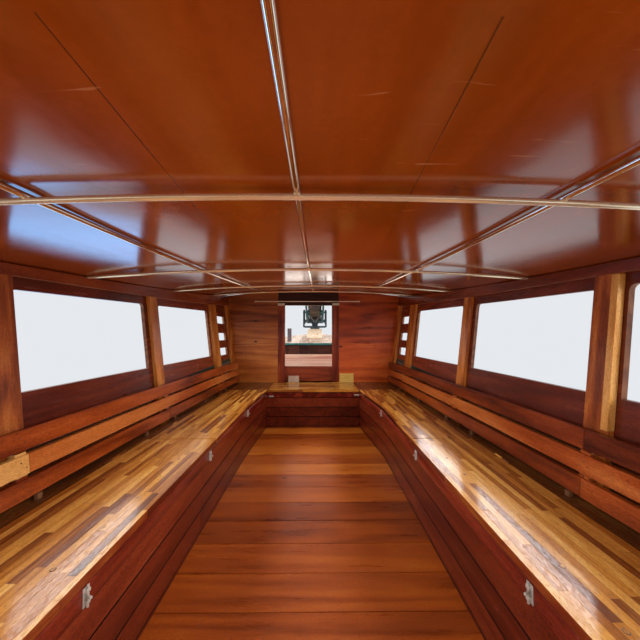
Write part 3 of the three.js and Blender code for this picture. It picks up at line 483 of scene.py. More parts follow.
bare_deck = timber("weathered_deck", "4E3A28 7C6046 A58763 C4A881", (0.5, 0.7), worn=0.45, grain=0.0006)
pale_deck = timber("scrubbed_stern_deck", "7A5C48 B0907A D6BCA6 EADBC8", (0.4, 0.6), worn=0.2, grain=0.0006)
pale_block = timber("pale_pedestal", "8A5A3C C8A080 DEC6A8 EADAC2", (0.4, 0.6))
worn_post = timber("grey_mooring_post", "3E3440 5C505C 7A6C74", (0.4, 0.6), along="z", worn=0.2)
dark_board = timber("dark_front_board", "26120E 42241E 5C362C", (0.35, 0.5), along="y")
DECK_SEAM = 0.003
for node, look, seams, start in (
        ("fore_deck", bare_deck, [0.08, 0.22, 0.36, 0.50, 0.64], 40),
        ("stern_deck", pale_deck, [0.09, 0.25, 0.41, 0.525, 0.635, 0.78, 0.92], 60)):
    deck = boarded(node, node + "_boards", "deck_timber", look, "y", [-s for s in seams] + seams, DECK_SEAM,
                   start, 0.003)
    if node == "stern_deck":
        restain(deck, stern_deck_look, dark_board, teal_paint, worn_post)
dressed("engine_pedestal", "pedestal_block", "deck_timber", pale_block, 0.008, 3)


# Stern planks: the sloping boards between the cabin door and the stern deck, once varnished, now worn pale.
# They lie athwart on bearers with a narrow seam between them, and the end that shows in the door is stained.

pink_boards = timber("worn_stern_planks", "8A4630 C0806A DDAE92 EECDB6", (0.35, 0.55), along="y", worn=0.15)
step_board = timber("stained_step", "4A160A 7E2E14 A04420", (0.25, 0.4), along="y")
ramp = boarded("stern_planks", "stern_ramp_boards", "varnished_teak", pink_boards, "x",
               pitch(-3.56, 0.15, -4.25, -3.6), DECK_SEAM, 90, 0.002)
restain(ramp, lambda face: face.normal.x > 0.6, step_board)


# Cabin sole: teak planks laid athwart over the frames and screwed down near their ends.
# They are 206 mm apart, with a few knots, and their varnish is worn shiny.

SOLE_KNOTS = (((-0.22, 0.395, 0.03), 0.011), ((0.01, 0.40, 0.03), 0.009), ((-1.6, -0.2, 0.03), 0.010),
              ((1.7, 0.1, 0.03), 0.012))
sole_teak = timber("varnished_sole", "56200A 964410 B86016 D28230", (0.22, 0.4), along="y", rings=7,
                   spread=0.45, figure=0.5, knots=SOLE_KNOTS)
boarded("cabin_sole", "sole_planks", "varnished_teak", sole_teak, "x", pitch(-0.425, 0.206, -3.49, 4.38),
        DECK_SEAM, 110, 0.003)


# Bench fronts: stained boards nailed to uprights behind, three to a height under the rail.
# They are butted end to end in places, and the board edges inside their seams are drawn near black as painted
# shade.

FRONT_SEAMS = [0.045, 0.155, 0.265, 0.3745]
seam_shade = timber("dirty_seam", "080302 120504 1E0A06", (0.4, 0.6))
front_timber = timber("stained_bench_front", "2E0B06 561A0C 742A14 8E3C20", (0.16, 0.3), rings=9, figure=0.6)
for node, joints, start in (("bench_front_port", [-1.62, 0.44, 1.9], 160),
                            ("bench_front_starboard", [-0.92, 1.1, 2.2], 190), ("aft_bench_front", [], 220)):
    boards = saw([merged_copy(node, node)], "z", FRONT_SEAMS, 0.0035)
    boards = saw(boards, "x", joints, 0.001)
    front = round_edges(join_boards(boards, node + "_boards", start), 0.002)
    put(front, "stained_timber", front_timber, node)
    # The boards' top and bottom edges, which show in the seams, get a near-black finish as painted shade.
    restain(front, lambda face: abs(face.normal.z) > 0.3, seam_shade)


# Bench rails: a rounded hardwood board along the top of every bench front, proud of the boards.
# It is screwed on from behind, stained dark, and the lids close on it.

def eased_box(name, corner, other, width=0.002, segments=2):
    """A sawn or cast block between two corners with its edges eased."""
    bpy.ops.mesh.primitive_cube_add(size=1, location=[(a + b) / 2 for a, b in zip(corner, other)])
    piece = made(name)
    piece.scale = [abs(b - a) for a, b in zip(corner, other)]
    bpy.ops.object.transform_apply()
    return round_edges(piece, width, segments)


SIDES = (("port", 1), ("starboard", -1))
AISLE = {"port": 0.637, "starboard": 0.587}  # half its breadth, as far aft as where it narrows
AFT_AISLE = 0.541


def aisle_half(x, side):
    """Distance from the centreline to a bench front, which turns inwards abaft x = -2."""
    t = min(max((-2.0 - x) / (2.924 - 2.0), 0), 1)
    return AISLE[side] + (AFT_AISLE - AISLE[side]) * t


def score(piece, normal, *places):
    """Cuts lines across a piece's faces without parting it."""
    for place in places:
        edit(piece)
        bpy.ops.mesh.bisect(plane_co=Vector(normal) * place, plane_no=normal)
        leave()


RAIL_LOW, RAIL_HIGH, RAIL_HALF = 0.3768, 0.4366, 0.0065
rail_timber = timber("stained_bench_rail", "2A0704 5A150C 84301C A2482A", (0.12, 0.24), rings=6, spread=0.2)
for side, sign in SIDES:
    middle = sign * (AISLE[side] - 0.004)
    rail = eased_box("bench_rail_" + side, (-2.9, middle - RAIL_HALF, RAIL_LOW),
                     (2.868, middle + RAIL_HALF, RAIL_HIGH), 0.0045, 3)
    score(rail, (1, 0, 0), -2.7, -2.5, -2.3, -2.1, -2.0)
    for vertex in rail.data.vertices:
        vertex.co.y += sign * (aisle_half(vertex.co.x, side) - AISLE[side])
    put(rail, "stained_timber", rail_timber, number=230 + sign)
rail = eased_box("bench_rail_aft", (-2.931, -0.536, RAIL_LOW), (-2.918, 0.536, RAIL_HIGH), 0.0045, 3)
put(rail, "stained_timber", rail_timber, number=234)


# Seats: lids and fixed edges of laminated teak strips, glued and finger-jointed end to end.
# They lie under thick clear varnish, and each lid hangs on hinges along its outer edge.
# The fixed edges in front of the slats are drawn near black, as painted shade.

SEAT_TONES = "4A220A 7A4016 A66622 C48638 D8A24E E8C27C"
STRIP_WIDTH = 0.027


def laminated(name, run="x", tones=SEAT_TONES):
    """Strips in rows along one axis. Each row has pieces of its own length, and each piece its own tone."""
    look = Finish(name)
    plain = look.here()
    x, y, z = look.axes(plain)
    length, side = (x, y) if run == "x" else (y, x)
    rows = side / STRIP_WIDTH
    row = rows.math("FLOOR")
    luck = look.chance(row * 1.37 + 3.1)
    along = (length + luck * 3.1) / (luck * 0.2 + 0.3)
    cell = look.vector(row, along.math("FLOOR"))
    tone = look.node("TexWhiteNoise", {"noise_dimensions": "2D"}, {"Vector": cell}, out="Value")
    other = look.node("TexWhiteNoise", {"noise_dimensions": "3D"},
                      {"Vector": look.shifted(cell, (3.7, 9.1, 4.4))}, out="Value")
    where = look.shifted(plain, look.vector(tone * 8.0, other * 6.0, tone * 3.0))
    log = look.stretch(where, GRAIN, run)
    streak = look.cloud(log, 38.0, 4.0, 0.62, 0.3)
    fibre = look.cloud(log, 190.0, 3.0, 0.6)
    ring = (look.cloud(log, 5.0, 1.0) * 22 * math.tau).math("SINE").between(-1, 1)
    level = tone * 0.62 + streak * 0.44 + fibre * 0.22 + ring * 0.12 - 0.2
    color = look.ramp(level, *zip((0.0, 0.24, 0.46, 0.66, 0.84, 1.0), tones.split()))
    seam = abs(rows.math("FRACT") - 0.5).between(0.484, 0.497)
    butt = abs(along.math("FRACT") - 0.5).between(0.4975, 0.4995)
    line = seam.math("MAXIMUM", butt)
    color = look.mix(line * 0.55, color, "3E1A08")
    pore = look.cloud(log, 820.0).between(0.36, 0.47)
    color = look.mix(pore.between(0, 1, 0.5, 0.0), color, "4A2208")
    worn = look.cloud(plain, 4.0, 4.0, 0.6)
    rough = (worn * 0.7 + streak * 0.3).between(0.32, 0.68, 0.07, 0.17)
    wave = look.cloud(look.stretch(plain, 0.35, run), 16.0, 2.0)
    return look.done(color, rough, pore * 0.3 + fibre * 0.2 - line * 0.5 + wave * 1.6, 0.00035)


seat_strips = laminated("laminated_seat")
edge_strips = laminated("stained_seat_edge", tones="2A0805 420F08 5A1C0C 742A12 8E441A B8762A")
# The fixed edges get a near-black wood finish as painted shade, where shadow falls in front of the slats.
fixed_edge_shade = timber("dark_fixed_edge", "24100A 40200E 5E3416 7A4A22", (0.16, 0.3), rings=6)
for side, sign in SIDES:
    dressed("bench_seat_" + side, "seat_edge_" + side, "seat_teak", fixed_edge_shade, 0.0015)
    for i in (1, 2, 3):
        node = f"bench_lid_{side}_{i}"
        lid = dressed(node, f"lid_{side}_{i}", "seat_teak", seat_strips, 0.003, 3, node)
        # The edge that looks into the aisle is stained
        restain(lid, lambda face: face.normal.y * -sign > 0.75 and face.center.y * -sign > -0.7, edge_strips)
cross_strips = laminated("laminated_aft_seat", "y")
dressed("aft_bench_lid", "lid_aft", "seat_teak", cross_strips, 0.003, 3, "aft_bench_lid")
dressed("aft_sill_board", "sill_ledge", "seat_teak", cross_strips, 0.0015)


# Cabin sides: stained panels with the windows sawn out, screwed to varnished posts on the gunwales.
# A stained rail board runs along their heads under the roof. Along their feet stands a backrest of three
# varnished slats that are butted on pale battens.

STATIONS = [HULL[0][0]] + [x for a, b in zip(HULL, HULL[1:]) for x in ((a[0] + b[0]) / 2, b[0])]


def wall_inside(x, z):
    """Half breadth of the cabin side's inner face, straight between the hull's stations."""
    i = max(next(k for k, station in enumerate(STATIONS) if station > x), 1)
    a, b = STATIONS[i - 1], STATIONS[i]
    beam, sheer = (faired(c, a) + (faired(c, b) - faired(c, a)) * (x - a) / (b - a) for c in (3, 2))
    return beam - 0.05 + (z - sheer) * 0.12


panel_timber = timber("stained_side_panel", "32100A 5C2012 7C301A 96441F", (0.16, 0.32), rings=10,
                      spread=0.25, figure=0.6, knots=(((-0.40, 1.19, 0.78), 0.016),))
post_timber = timber("varnished_post", "5E240C 9C4C1A C87830 E09C50", (0.15, 0.3), along="z", rings=8,
                     spread=0.3)
rail_stain = timber("stained_rail_board", "36100A 66240F 863818 9E4E28", (0.14, 0.28), rings=6, spread=0.3,
                    figure=0.7)
slat_timber = timber("varnished_slat", "3E1206 762C0C A64A18 C87234", (0.12, 0.26), rings=6, spread=0.55,
                     figure=0.9)
pale_slat = timber("new_slat", "8A4A18 B87434 D89A50 E8B068", (0.12, 0.26), rings=6)
batten_timber = timber("pale_batten", "9A6242 BC8660 D4A684", (0.3, 0.45), along="z")
cut_edge = timber("sawn_edge", "6A3A22 96603E BA8862")
POSTS = [(-3.495, -3.370), (-2.965, -2.780), (-1.595, -1.488), (-0.430, -0.322), (0.702, 0.810),
         (1.834, 1.942), (3.010, 3.118)]
POST_PROUD = 0.0012
WINDOW_SILL, WINDOW_HEAD = 0.86, 1.345
SLAT_GAPS, GAP_HALF, BATTEN_DEPTH = [0.569, 0.659], 0.0088, 0.046
NEW_SLAT = (-0.40, 0.756)


def panel_look(face):
    """The posts stand proud of the panel and are varnished, and the window's sawn edges are bare."""
    x, y, z = face.center
    if abs(y) < wall_inside(x, z) - POST_PROUD and any(a - 0.001 < x < b + 0.001 for a, b in POSTS):
        return 1
    sawn = abs(face.normal.y) < 0.5 and WINDOW_SILL < z < WINDOW_HEAD and wall_inside(x, z) < abs(y)
    return 2 if sawn else 0


def slat_look(face):
    """Battens show between the slats, and one board of the middle row to starboard is new."""
    x, y, z = face.center
    between = any(abs(z - gap) < GAP_HALF for gap in SLAT_GAPS)
    if between and abs(y) > wall_inside(x, z) - BATTEN_DEPTH and face.area < 0.004:
        return 1
    return 2 if y < 0 and NEW_SLAT[0] < x < NEW_SLAT[1] and SLAT_GAPS[0] < z < SLAT_GAPS[1] else 0


for side, butts, start in (("port", ([-0.376, 1.888], [-1.54, 0.756], [-0.376, 1.888]), 270),
                           ("starboard", ([-1.54, 0.756], NEW_SLAT, [-2.87, 0.756]), 290)):
    for i in (1, 2, 3):
        node = f"side_panel_{side}_{i}"
        panel = dressed(node, node + "_board", "stained_timber", panel_timber, 0.0022,
                        number=240 + i * 3 + len(side))
        restain(panel, panel_look, post_timber, cut_edge)
    for length in ("aft", "fore"):
        node = f"cabin_rail_{side}_{length}"
        rail = dressed(node, node + "_board", "varnished_teak", rail_stain, 0.003, 3,
                       number=260 + len(side + length))
        restain(rail, lambda face: face.normal.z < -0.8, cut_edge)
    rows = saw([merged_copy("backrest_" + side, "slats")], "z", SLAT_GAPS, 0.0)
    boards = [board for row, places in zip(rows, butts) for board in saw([row], "x", places, 0.002)]
    slats = round_edges(join_boards(boards, "slats_" + side, start), 0.003, 3)
    put(slats, "varnished_teak", slat_timber, "backrest_" + side)
    restain(slats, slat_look, batten_timber, pale_slat)

pale_strip = timber("pale_post_strip", "8A4C1C C07C34 DEA255 EDBC78", (0.15, 0.3), along="z", rings=5)
strip = eased_box("post_strip", (-0.349, -0.0295, 0.752), (-0.3195, -0.001, 1.343), 0.0015)
for vertex in strip.data.vertices:
    vertex.co.y += wall_inside(vertex.co.x, vertex.co.z)
put(strip, "varnished_teak", pale_strip)


# Cabin ends: bulkheads of varnished boards laid across and nailed to the door frames between them.
# The aft boards are tight and have a few knots. The frame's board over the aft doorway is drawn near black as
# painted shade.

FORE_SEAMS = [0.22, 0.44, 0.66, 0.86, 1.05, 1.26]
for side, shades, knots, seams, start in (
        ("starboard", "5A240A 884014 AA5A20 C47C38",
         (((-3.5, -0.79, 1.3), 0.012), ((-3.5, -0.79, 1.02), 0.012)),
         [0.637, 0.846, 0.991, 1.213, 1.292], 310),
        ("port", "662008 A43E12 C4561C D87A38",
         (((-3.5, 0.37, 0.95), 0.012),), [0.728, 0.991], 325)):
    look = timber("varnished_bulkhead_" + side, shades, (0.24, 0.42), along="y", rings=7, spread=0.3,
                  knots=knots, figure=0.95)
    for node, places, gap, width, first in (("aft_bulkhead_" + side, seams, 0.0, 0.003, start),
                                            ("fore_bulkhead_" + side, FORE_SEAMS, 0.0025, 0.0015, start + 7)):
        boarded(node, node + "_boards", "varnished_teak", look, "z", places, gap, first, width)
frame_timber = timber("stained_door_frame", "1E0604 4A140A 742814 96401F", (0.18, 0.34), along="z", rings=8)
door_head_shade = timber("sooty_door_head", "120402 280C06 40160A", along="y")
DOOR_HEAD = 1.516
for node in ("aft_door_frame", "fore_door_frame"):
    door = merged_copy(node, node + "_timber")
    score(door, (0, 0, 1), DOOR_HEAD)
    put(round_edges(door, 0.003, 3), "stained_timber", frame_timber, node)
    # The board over the aft doorway gets a near-black finish as painted shade under the roof.
    restain(door, lambda face: face.center.z > DOOR_HEAD and face.center.x < 0, door_head_shade)


# Roof: a thin sheet bent over the bows and fastened along the rail boards.
# It has glossy enamel below and above, and is dished and rippled between the pipes.

def roof_height(x):
    """Height of the bows' underside on the centreline, which rises towards the stern."""
    return 1.376 + 0.0093 * (x - 2.3) ** 2


def roof_half(x):
    """Half breadth to the wall's top, inside."""
    x = min(max(x, -3.5), 3.3)
    return wall_inside(min(x, 3.2999), roof_height(x) - 0.036)


BOWS = [-2.944 + 1.040 * i for i in range(6)]


def ripple(x, y):
    """How far the sheet stands off its fair curve: broad dents, and a slight sag between the bows."""
    waves = 0.0030 * noise.noise((x * 0.9, y * 1.6, 0.3)) + 0.0008 * noise.noise((x * 2.6, y * 3.1, 4.1))
    nearest = min(abs(x - bow) for bow in BOWS)
    return waves * min(nearest / 0.16, 1.0) - 0.0022 * math.sin(min(nearest / 0.52, 1.0) * math.pi / 2)


ROOF_AFT, ROOF_LENGTH, EAVES = -3.74, 7.30, 0.085
bpy.ops.mesh.primitive_grid_add(x_subdivisions=244, y_subdivisions=90, size=2, location=(0, 0, 0))
sheet = made("roof_lining")
for vertex in sheet.data.vertices:
    x = ROOF_AFT + (vertex.co.x + 1) / 2 * ROOF_LENGTH
    edge = roof_half(x)
    y = vertex.co.y * (edge + EAVES)
    vertex.co = (x, y, roof_height(x) + 0.0189 - 0.062 * (abs(y) / edge) ** 3 + ripple(x, y))
apply_modifier(sheet, "SOLIDIFY", thickness=0.012, offset=1.0)
apply_modifier(sheet, "BEVEL", width=0.003, segments=2, limit_method="ANGLE", angle_limit=math.radians(50))
smooth(sheet, 35)


def enamel():
    """Brown enamel over slanting lap joints of the sheet, with fine scratches and a few pinholes."""
    look = Finish("glossy_enamel")
    plain = look.here()
    x, y, z = look.axes(plain)
    blotch = look.cloud(plain, 1.3, 4.0, 0.55)
    streak = look.cloud(look.stretch(plain, 0.14, "x"), 9.0, 4.0, 0.6, 0.3)
    speck = look.cloud(plain, 60.0, 4.0, 0.75)
    color = look.ramp(blotch * 0.6 + streak * 0.3 + speck * 0.15,
                      (0.34, "5C2604"), (0.52, "783206"), (0.7, "8E400A"))
    along = ((0.58 - x) / 2.08).math("FRACT") * 2.08
    lap = abs(abs(y) - 0.2265 - along * 0.082) + (look.cloud(plain, 5.0) - 0.5) * 0.0016
    color = look.mix(lap.between(0.0004, 0.0016, 0.75, 0.0), color, "2A1006")
    scratch = look.cloud(look.place(plain, (1, 0.1, 1), (0, 0, 0.5)), 70.0, 2.0, 0.5, 0.6)
    color = look.mix(scratch.between(0.72, 0.76, 0.0, 0.25), color, "C08A60")
    pin = look.node("TexVoronoi", None, {"Vector": plain, "Scale": 5.0, "Randomness": 1.0}, out="Distance")
    color = look.mix(pin.between(0.012, 0.02, 0.6, 0.0), color, "2A1006")
    rough = (blotch * 0.5 + streak * 0.3 + speck * 0.3).between(0.35, 0.75, 0.09, 0.22)
    height = speck * 0.04 + lap.between(0.0, 0.003, -0.2, 0.0) + look.cloud(plain, 9.0) * 0.7
    return look.done(color, rough, height, 0.0005)


put(sheet, "roof_sheet", enamel(), "roof_skin")


# Roof pipes: six polished steel bows across the cabin, and three pipes laid along on top of them.
# They are welded where they cross, and a small bead shows there. The bows' steel is paler and warmer than the
# pipes', as painted reflection.

PIPE = 0.0075


def pipe_run(name, points, turn):
    """A round pipe made by extruding a circle from point to point."""
    bpy.ops.mesh.primitive_circle_add(vertices=16, radius=PIPE, fill_type="NGON", location=points[0],
                                      rotation=turn)
    piece = made(name)
    bpy.ops.object.transform_apply()
    edit(piece)
    for a, b in zip(points, points[1:]):
        bpy.ops.mesh.extrude_region_move(TRANSFORM_OT_translate={"value": Vector(b) - Vector(a)})
    bpy.ops.mesh.select_all(action="SELECT")
    bpy.ops.mesh.normals_make_consistent(inside=False)
    leave()
    smooth(piece, 40)
    return piece


def bow_height(x, y):
    """Height of a bow's middle line, lower towards the walls."""
    return roof_height(x) - 0.050 * (abs(y) / roof_half(x)) ** 2


def polished(name, pale, warm, low, high, rust, metallic):
    """Steel with a faint haze and a few rust spots."""
    look = Finish(name, Metallic=metallic)
    plain = look.here()
    haze = look.cloud(plain, 4.0, 5.0, 0.65)
    spots = look.cloud(plain, 45.0, 4.0, 0.7)
    color = look.mix(haze.between(0.3, 0.7), pale, warm)
    color = look.mix(spots.between(0.68, 0.75, 0.0, rust), color, "6A3018")
    rough = (haze * 0.6 + spots * 0.5).between(0.35, 0.8, low, high)
    return look.done(color, rough, spots * 0.25, 0.00005)


def is_bow(face):
    x, y, z = face.center
    return min(abs(x - bow) for bow in BOWS) < PIPE + 0.0005 and z < bow_height(x, y) + PIPE + 0.0003


pipe_steel = polished("polished_pipe", "FFFAEC", "F2E4C8", 0.05, 0.2, 0.6, 1.0)
# The bows get a warmer, paler and less metallic copy of the steel: a painted reflection that makes them read
# bright cream.
bow_steel_sheen = polished("scoured_bow", "FFF6DC", "FFE8B8", 0.14, 0.26, 0.25, 0.75)
LONG_PIPES = (-0.6, 0.0, 0.6)
PIPES_AFT, PIPES_LENGTH, OVER_BOWS = -3.498, 6.796, 0.0115
pipes = []
for k, x in enumerate(BOWS):
    reach = wall_inside(x, bow_height(x, roof_half(x))) - 0.0274
    run = [(x, reach * (i / 10 - 1), bow_height(x, reach * (i / 10 - 1))) for i in range(21)]
    pipes.append(pipe_run(f"bow_{k}", run, (math.pi / 2, 0, 0)))
for y in LONG_PIPES:
    places = [PIPES_AFT + PIPES_LENGTH * i / 34 for i in range(35)]
    run = [(x, y, bow_height(x, y) + OVER_BOWS) for x in places]
    pipes.append(pipe_run(f"long_{y}", run, (0, math.pi / 2, 0)))
for x in BOWS:
    for y in LONG_PIPES:
        bpy.ops.mesh.primitive_uv_sphere_add(segments=14, ring_count=8, radius=0.0065,
                                             location=(x, y, bow_height(x, y) + 0.0065))
        bead = bpy.context.object
        bead.scale = (1.5, 1.4, 0.55)
        bpy.ops.object.transform_apply()
        bpy.ops.object.shade_smooth()
        pipes.append(bead)
pipework = put(joined("roof_pipework", pipes), "roof_pipe", pipe_steel, "roof_pipes")
restain(pipework, is_bow, bow_steel_sheen)


# Bench hardware: stainless tower bolts, screwed to the bench rails, that hold the lids down.
# Round wooden plugs are glued over the screws that hold each lid's strips to the battens below.

def turned(name, foot, top, radius, sides, end=None):
    """A turned rod or pin between two points."""
    foot, top = Vector(foot), Vector(top)
    bpy.ops.mesh.primitive_cone_add(vertices=sides, radius1=radius, radius2=end or radius,
                                    depth=(top - foot).length, location=(foot + top) / 2,
                                    rotation=(top - foot).to_track_quat("Z", "Y").to_euler())
    piece = made(name)
    bpy.ops.object.transform_apply()
    return round_edges(piece, min(radius * 0.25, 0.002), 2, 50)


def brushed_steel():
    look = Finish("brushed_stainless", Metallic=0.3)
    plain = look.here()
    lines = look.cloud(look.stretch(plain, 0.06, "z"), 900.0, 2.0, 0.6)
    haze = look.cloud(plain, 40.0, 3.0)
    color = look.mix(haze.between(0.35, 0.7), "D2CFC6", "A8A296")
    return look.done(color, (lines * 0.5 + haze * 0.5).between(0.3, 0.7, 0.2, 0.4), lines, 0.00008)


stainless = brushed_steel()
RAIL_FACE, BOLT, LOOP_EDGE = 0.0105, 0.0034, 0.0022
for side, sign in SIDES:
    for i, x in enumerate((-0.024, -1.024, -2.024, 1.2, 2.3)):
        face = sign * (aisle_half(x, side) - RAIL_FACE)
        plate_face, axis, loop_face = (face - sign * depth for depth in (0.0018, 0.0058, 0.0095))
        plate = eased_box("plate", (x - 0.0125, face, 0.3835), (x + 0.0125, plate_face, 0.434), 0.0006)
        bolt = turned("bolt", (x, axis, 0.380), (x, axis, 0.4385), BOLT, 12)
        loops = [eased_box("loop", (x - 0.0075, face, z - 0.005), (x + 0.0075, loop_face, z + 0.005),
                           LOOP_EDGE, 3) for z in (0.393, 0.424)]
        knob = turned("knob", (x, face - sign * 0.006, 0.409), (x + 0.008, face - sign * 0.020, 0.411),
                      0.0032, 12, 0.0042)
        put(joined(f"tower_bolt_{side}_{i}", [plate, bolt, *loops, knob]), "roof_pipe", stainless)
for i, (y, z) in enumerate(((-0.49, 0.391), (0.508, 0.405))):
    plate = eased_box("plate", (-2.9178, y - 0.026, z - 0.010), (-2.916, y + 0.026, z + 0.010), 0.0006)
    bolt = turned("bolt", (-2.912, y - 0.030, z), (-2.912, y + 0.024, z), BOLT, 12)
    loops = [eased_box("loop", (-2.9178, y + d - 0.005, z - 0.0065), (-2.908, y + d + 0.005, z + 0.0065),
                       LOOP_EDGE, 3) for d in (-0.014, 0.014)]
    put(joined(f"aft_bolt_{i}", [plate, bolt, *loops]), "roof_pipe", stainless)


def wood_plug(x, y):
    """A round plug a little proud of the lid, its top inset so that a glue line shows round it."""
    bpy.ops.mesh.primitive_cylinder_add(vertices=20, radius=0.0078, depth=0.003, location=(x, y, 0.4689))
    plug = bpy.context.object
    bpy.ops.object.transform_apply()
    edit(plug, "DESELECT")
    bpy.ops.mesh.select_mode(type="FACE")
    leave()
    max(plug.data.polygons, key=lambda face: face.center.z).select = True
    bpy.ops.object.mode_set(mode="EDIT")
    bpy.ops.mesh.inset(thickness=0.0018)
    bpy.ops.transform.translate(value=(0, 0, 0.0002))
    leave()
    return plug


plug_wood = timber("seat_plug", "8A5520 B07A30 CF9A50", (0.12, 0.22), rings=3, spread=0.8)
glue_line = timber("plug_glue_line", "2A1006 3E1A0A 54260F", (0.2, 0.35))
LIDS = [(-2.905, -1.137), (-1.131, 0.867), (0.873, 2.870)]
END_MARGIN, EDGE_MARGIN = 0.12, 0.082
for side, sign in SIDES:
    for k, (start, end) in enumerate(LIDS, 1):
        plugs = []
        count = 9 + (k > 1)
        for i in range(count):
            x = start + END_MARGIN + (end - start - 2 * END_MARGIN) * i / (count - 1)
            y = sign * (aisle_half(x, side) + EDGE_MARGIN + 0.006 * ((i * 7) % 3 - 1))
            plugs.append(wood_plug(x, y))
            number_boards(plugs[-1], 400 + i + 20 * k + 100 * sign)
        plugs = put(joined(f"plugs_{side}_{k}", plugs), "seat_teak", glue_line, body=f"bench_lid_{side}_{k}")
        restain(plugs, lambda face: face.normal.z > 0.9 and face.area > 0.0001, plug_wood)


# Backrest fittings: dull wooden cleats that the lowest slat stands on, screwed to the posts and battens.
# Two dark screw heads hold each slat on both sides of a butt joint.

cleat_wood = timber("dull_cleat", "4A2C1A 6E4830 8C6648")
dark_heads = painted("stained_screw_heads", "4A2014 34140C 6A5A50", (0.3, 0.5))


def slat_face(x, z):
    """Half breadth of the slats' inner face."""
    return wall_inside(x, z) - 0.0658


for side, sign in SIDES:
    cleats = []
    for x in (-2.87, -2.23, -1.60, -1.21, -0.42, 0.30, 0.70, 1.30, 1.83, 2.45):
        y = sign * (slat_face(x, 0.49) - 0.006)
        cleats.append(eased_box("cleat", (x - 0.012, y - 0.0075, 0.4702), (x + 0.012, y + 0.0075, 0.4925)))
    put(joined("cleats_" + side, cleats), "varnished_teak", cleat_wood)
    heads = []
    for x in (-3.43, -2.8725, -1.5415, -0.376, 0.756, 1.888):
        for low, high in ((0.490, 0.560), (0.578, 0.650), (0.668, 0.744)):
            for dx in (-0.011, 0.011):
                z = (low + high) / 2 + (0.012 if dx > 0 else -0.010)
                y = sign * slat_face(x, z)
                heads.append(turned("head", (x + dx, y + sign * 0.002, z), (x + dx, y - sign * 0.0007, z),
                                    0.0032, 10))
    put(joined("slat_screws_" + side, heads), "roof_pipe", dark_heads)


# Aft doorway fittings: a pale wooden curtain rod over the door, on two stays with a knob at each end.
# Blank cream plates are screwed on at the frame's head, and two short boards stand at the sill.

WALL, ROD_X, ROD_Z, ROD_ENDS = -3.4995, -3.462, 1.566, (-0.79, 0.62)
rod_wood = timber("curtain_rod_timber", "B08C70 DCC0A0 F2E2C8", (0.2, 0.35), along="y")
plate_cream = painted("cream_plate", "D8CBB4 A9987C 6A4A34", (0.3, 0.5))
rod = turned("rod", *[(ROD_X, y, ROD_Z) for y in ROD_ENDS], 0.0065, 14)
put(rod, "varnished_teak", rod_wood)
ends = [turned("end", (ROD_X, y - 0.012, ROD_Z), (ROD_X, y + 0.012, ROD_Z), 0.0105, 14) for y in ROD_ENDS]
stays = [turned("stay", (WALL, y, ROD_Z), (ROD_X + 0.004, y, ROD_Z), 0.0045, 10) for y in (-0.7, 0.53)]
plates = [eased_box("plate", (WALL, y - 0.047, z - 0.016), (-3.494, y + 0.047, z + 0.016), 0.0025, 3)
          for y, z in ((-0.4445, 1.528), (0.3025, 1.532))]
put(joined("door_head_plates", ends + stays + plates), "varnished_teak", plate_cream)
sill_wood = timber("pale_sill_board", "B08838 D4AC5C EBCF8C", (0.2, 0.35), along="y")
scrubbed = painted("scrubbed_sill", "C9B6A4 93705C 7A4A34", (0.35, 0.5))
for name, corner, other, look in (
        ("sill_board_port", (WALL, 0.35, 0.4705), (-3.482, 0.54, 0.588), sill_wood),
        ("sill_board_starboard", (-3.524, -0.343, 0.4705), (-3.506, -0.2, 0.555), scrubbed)):
    put(eased_box(name, corner, other, 0.0025), "varnished_teak", look)


# Drive: a welded and painted yoke that swivels on its pin, and the engine, bolted in the cradle that it tips.
# A long steel tail runs from the engine to a bronze propeller, and a tiller runs forward for steering.

machine_green = painted("machine_paint", "22343A 10191C 5A3320", (0.3, 0.55), 0.0006)
bracket_teal = painted("bracket_paint", "2C6A6E 173E42 6A4028", (0.3, 0.5), 0.0006)
oily_iron = painted("oily_cast_iron", "3A2C22 241A14 5E3A22", (0.35, 0.6), 0.001)
dull_aluminium = painted("dull_aluminium", "9C9C98 76756F 5A4A3A", (0.35, 0.55), 0.0006, 0.85)
worn_bronze = painted("worn_bronze", "A8854A 7E6236 4E5A44", (0.25, 0.45), 0.0004, 0.9)
for node, body, slot, look, width in (
        ("swivel_yoke", "yoke", "drive_paint", machine_green, 0.004),
        ("engine_cradle", "engine", "drive_paint", bracket_teal, 0.003),
        ("engine_block", "engine", "engine_iron", oily_iron, 0.005),
        ("engine_head", "engine", "engine_cover", dull_aluminium, 0.006),
        ("belt_drive", "engine", "drive_paint", machine_green, 0.003),
        ("exhaust", "engine", "engine_iron", oily_iron, 0.003),
        ("air_cleaner", "engine", "drive_paint", machine_green, 0.006),
        ("tiller", "engine", "drive_paint", machine_green, 0.002),
        ("tail_tube", "engine", "drive_paint", machine_green, 0.003),
        ("propeller", "propeller", "bronze", worn_bronze, 0.001)):
    dressed(node, node + "_metal", slot, look, width, body=body)
braces = [turned("brace", (-6.018, 0.012 * sign, 1.385), (-6.018, 0.118 * sign, 1.56), 0.008, 12)
          for sign in (-1, 1)]
put(joined("yoke_braces", braces), "engine_cover", dull_aluminium, body="yoke")


# Stage: a plain pale floor at the waterline, cut out to the hull's outline so that the inside stays open.
# A soft pale sky, large soft lamps beside the windows and small ones in the cabin light it, and the camera
# stands in the aisle, looks aft and tilts up a little.

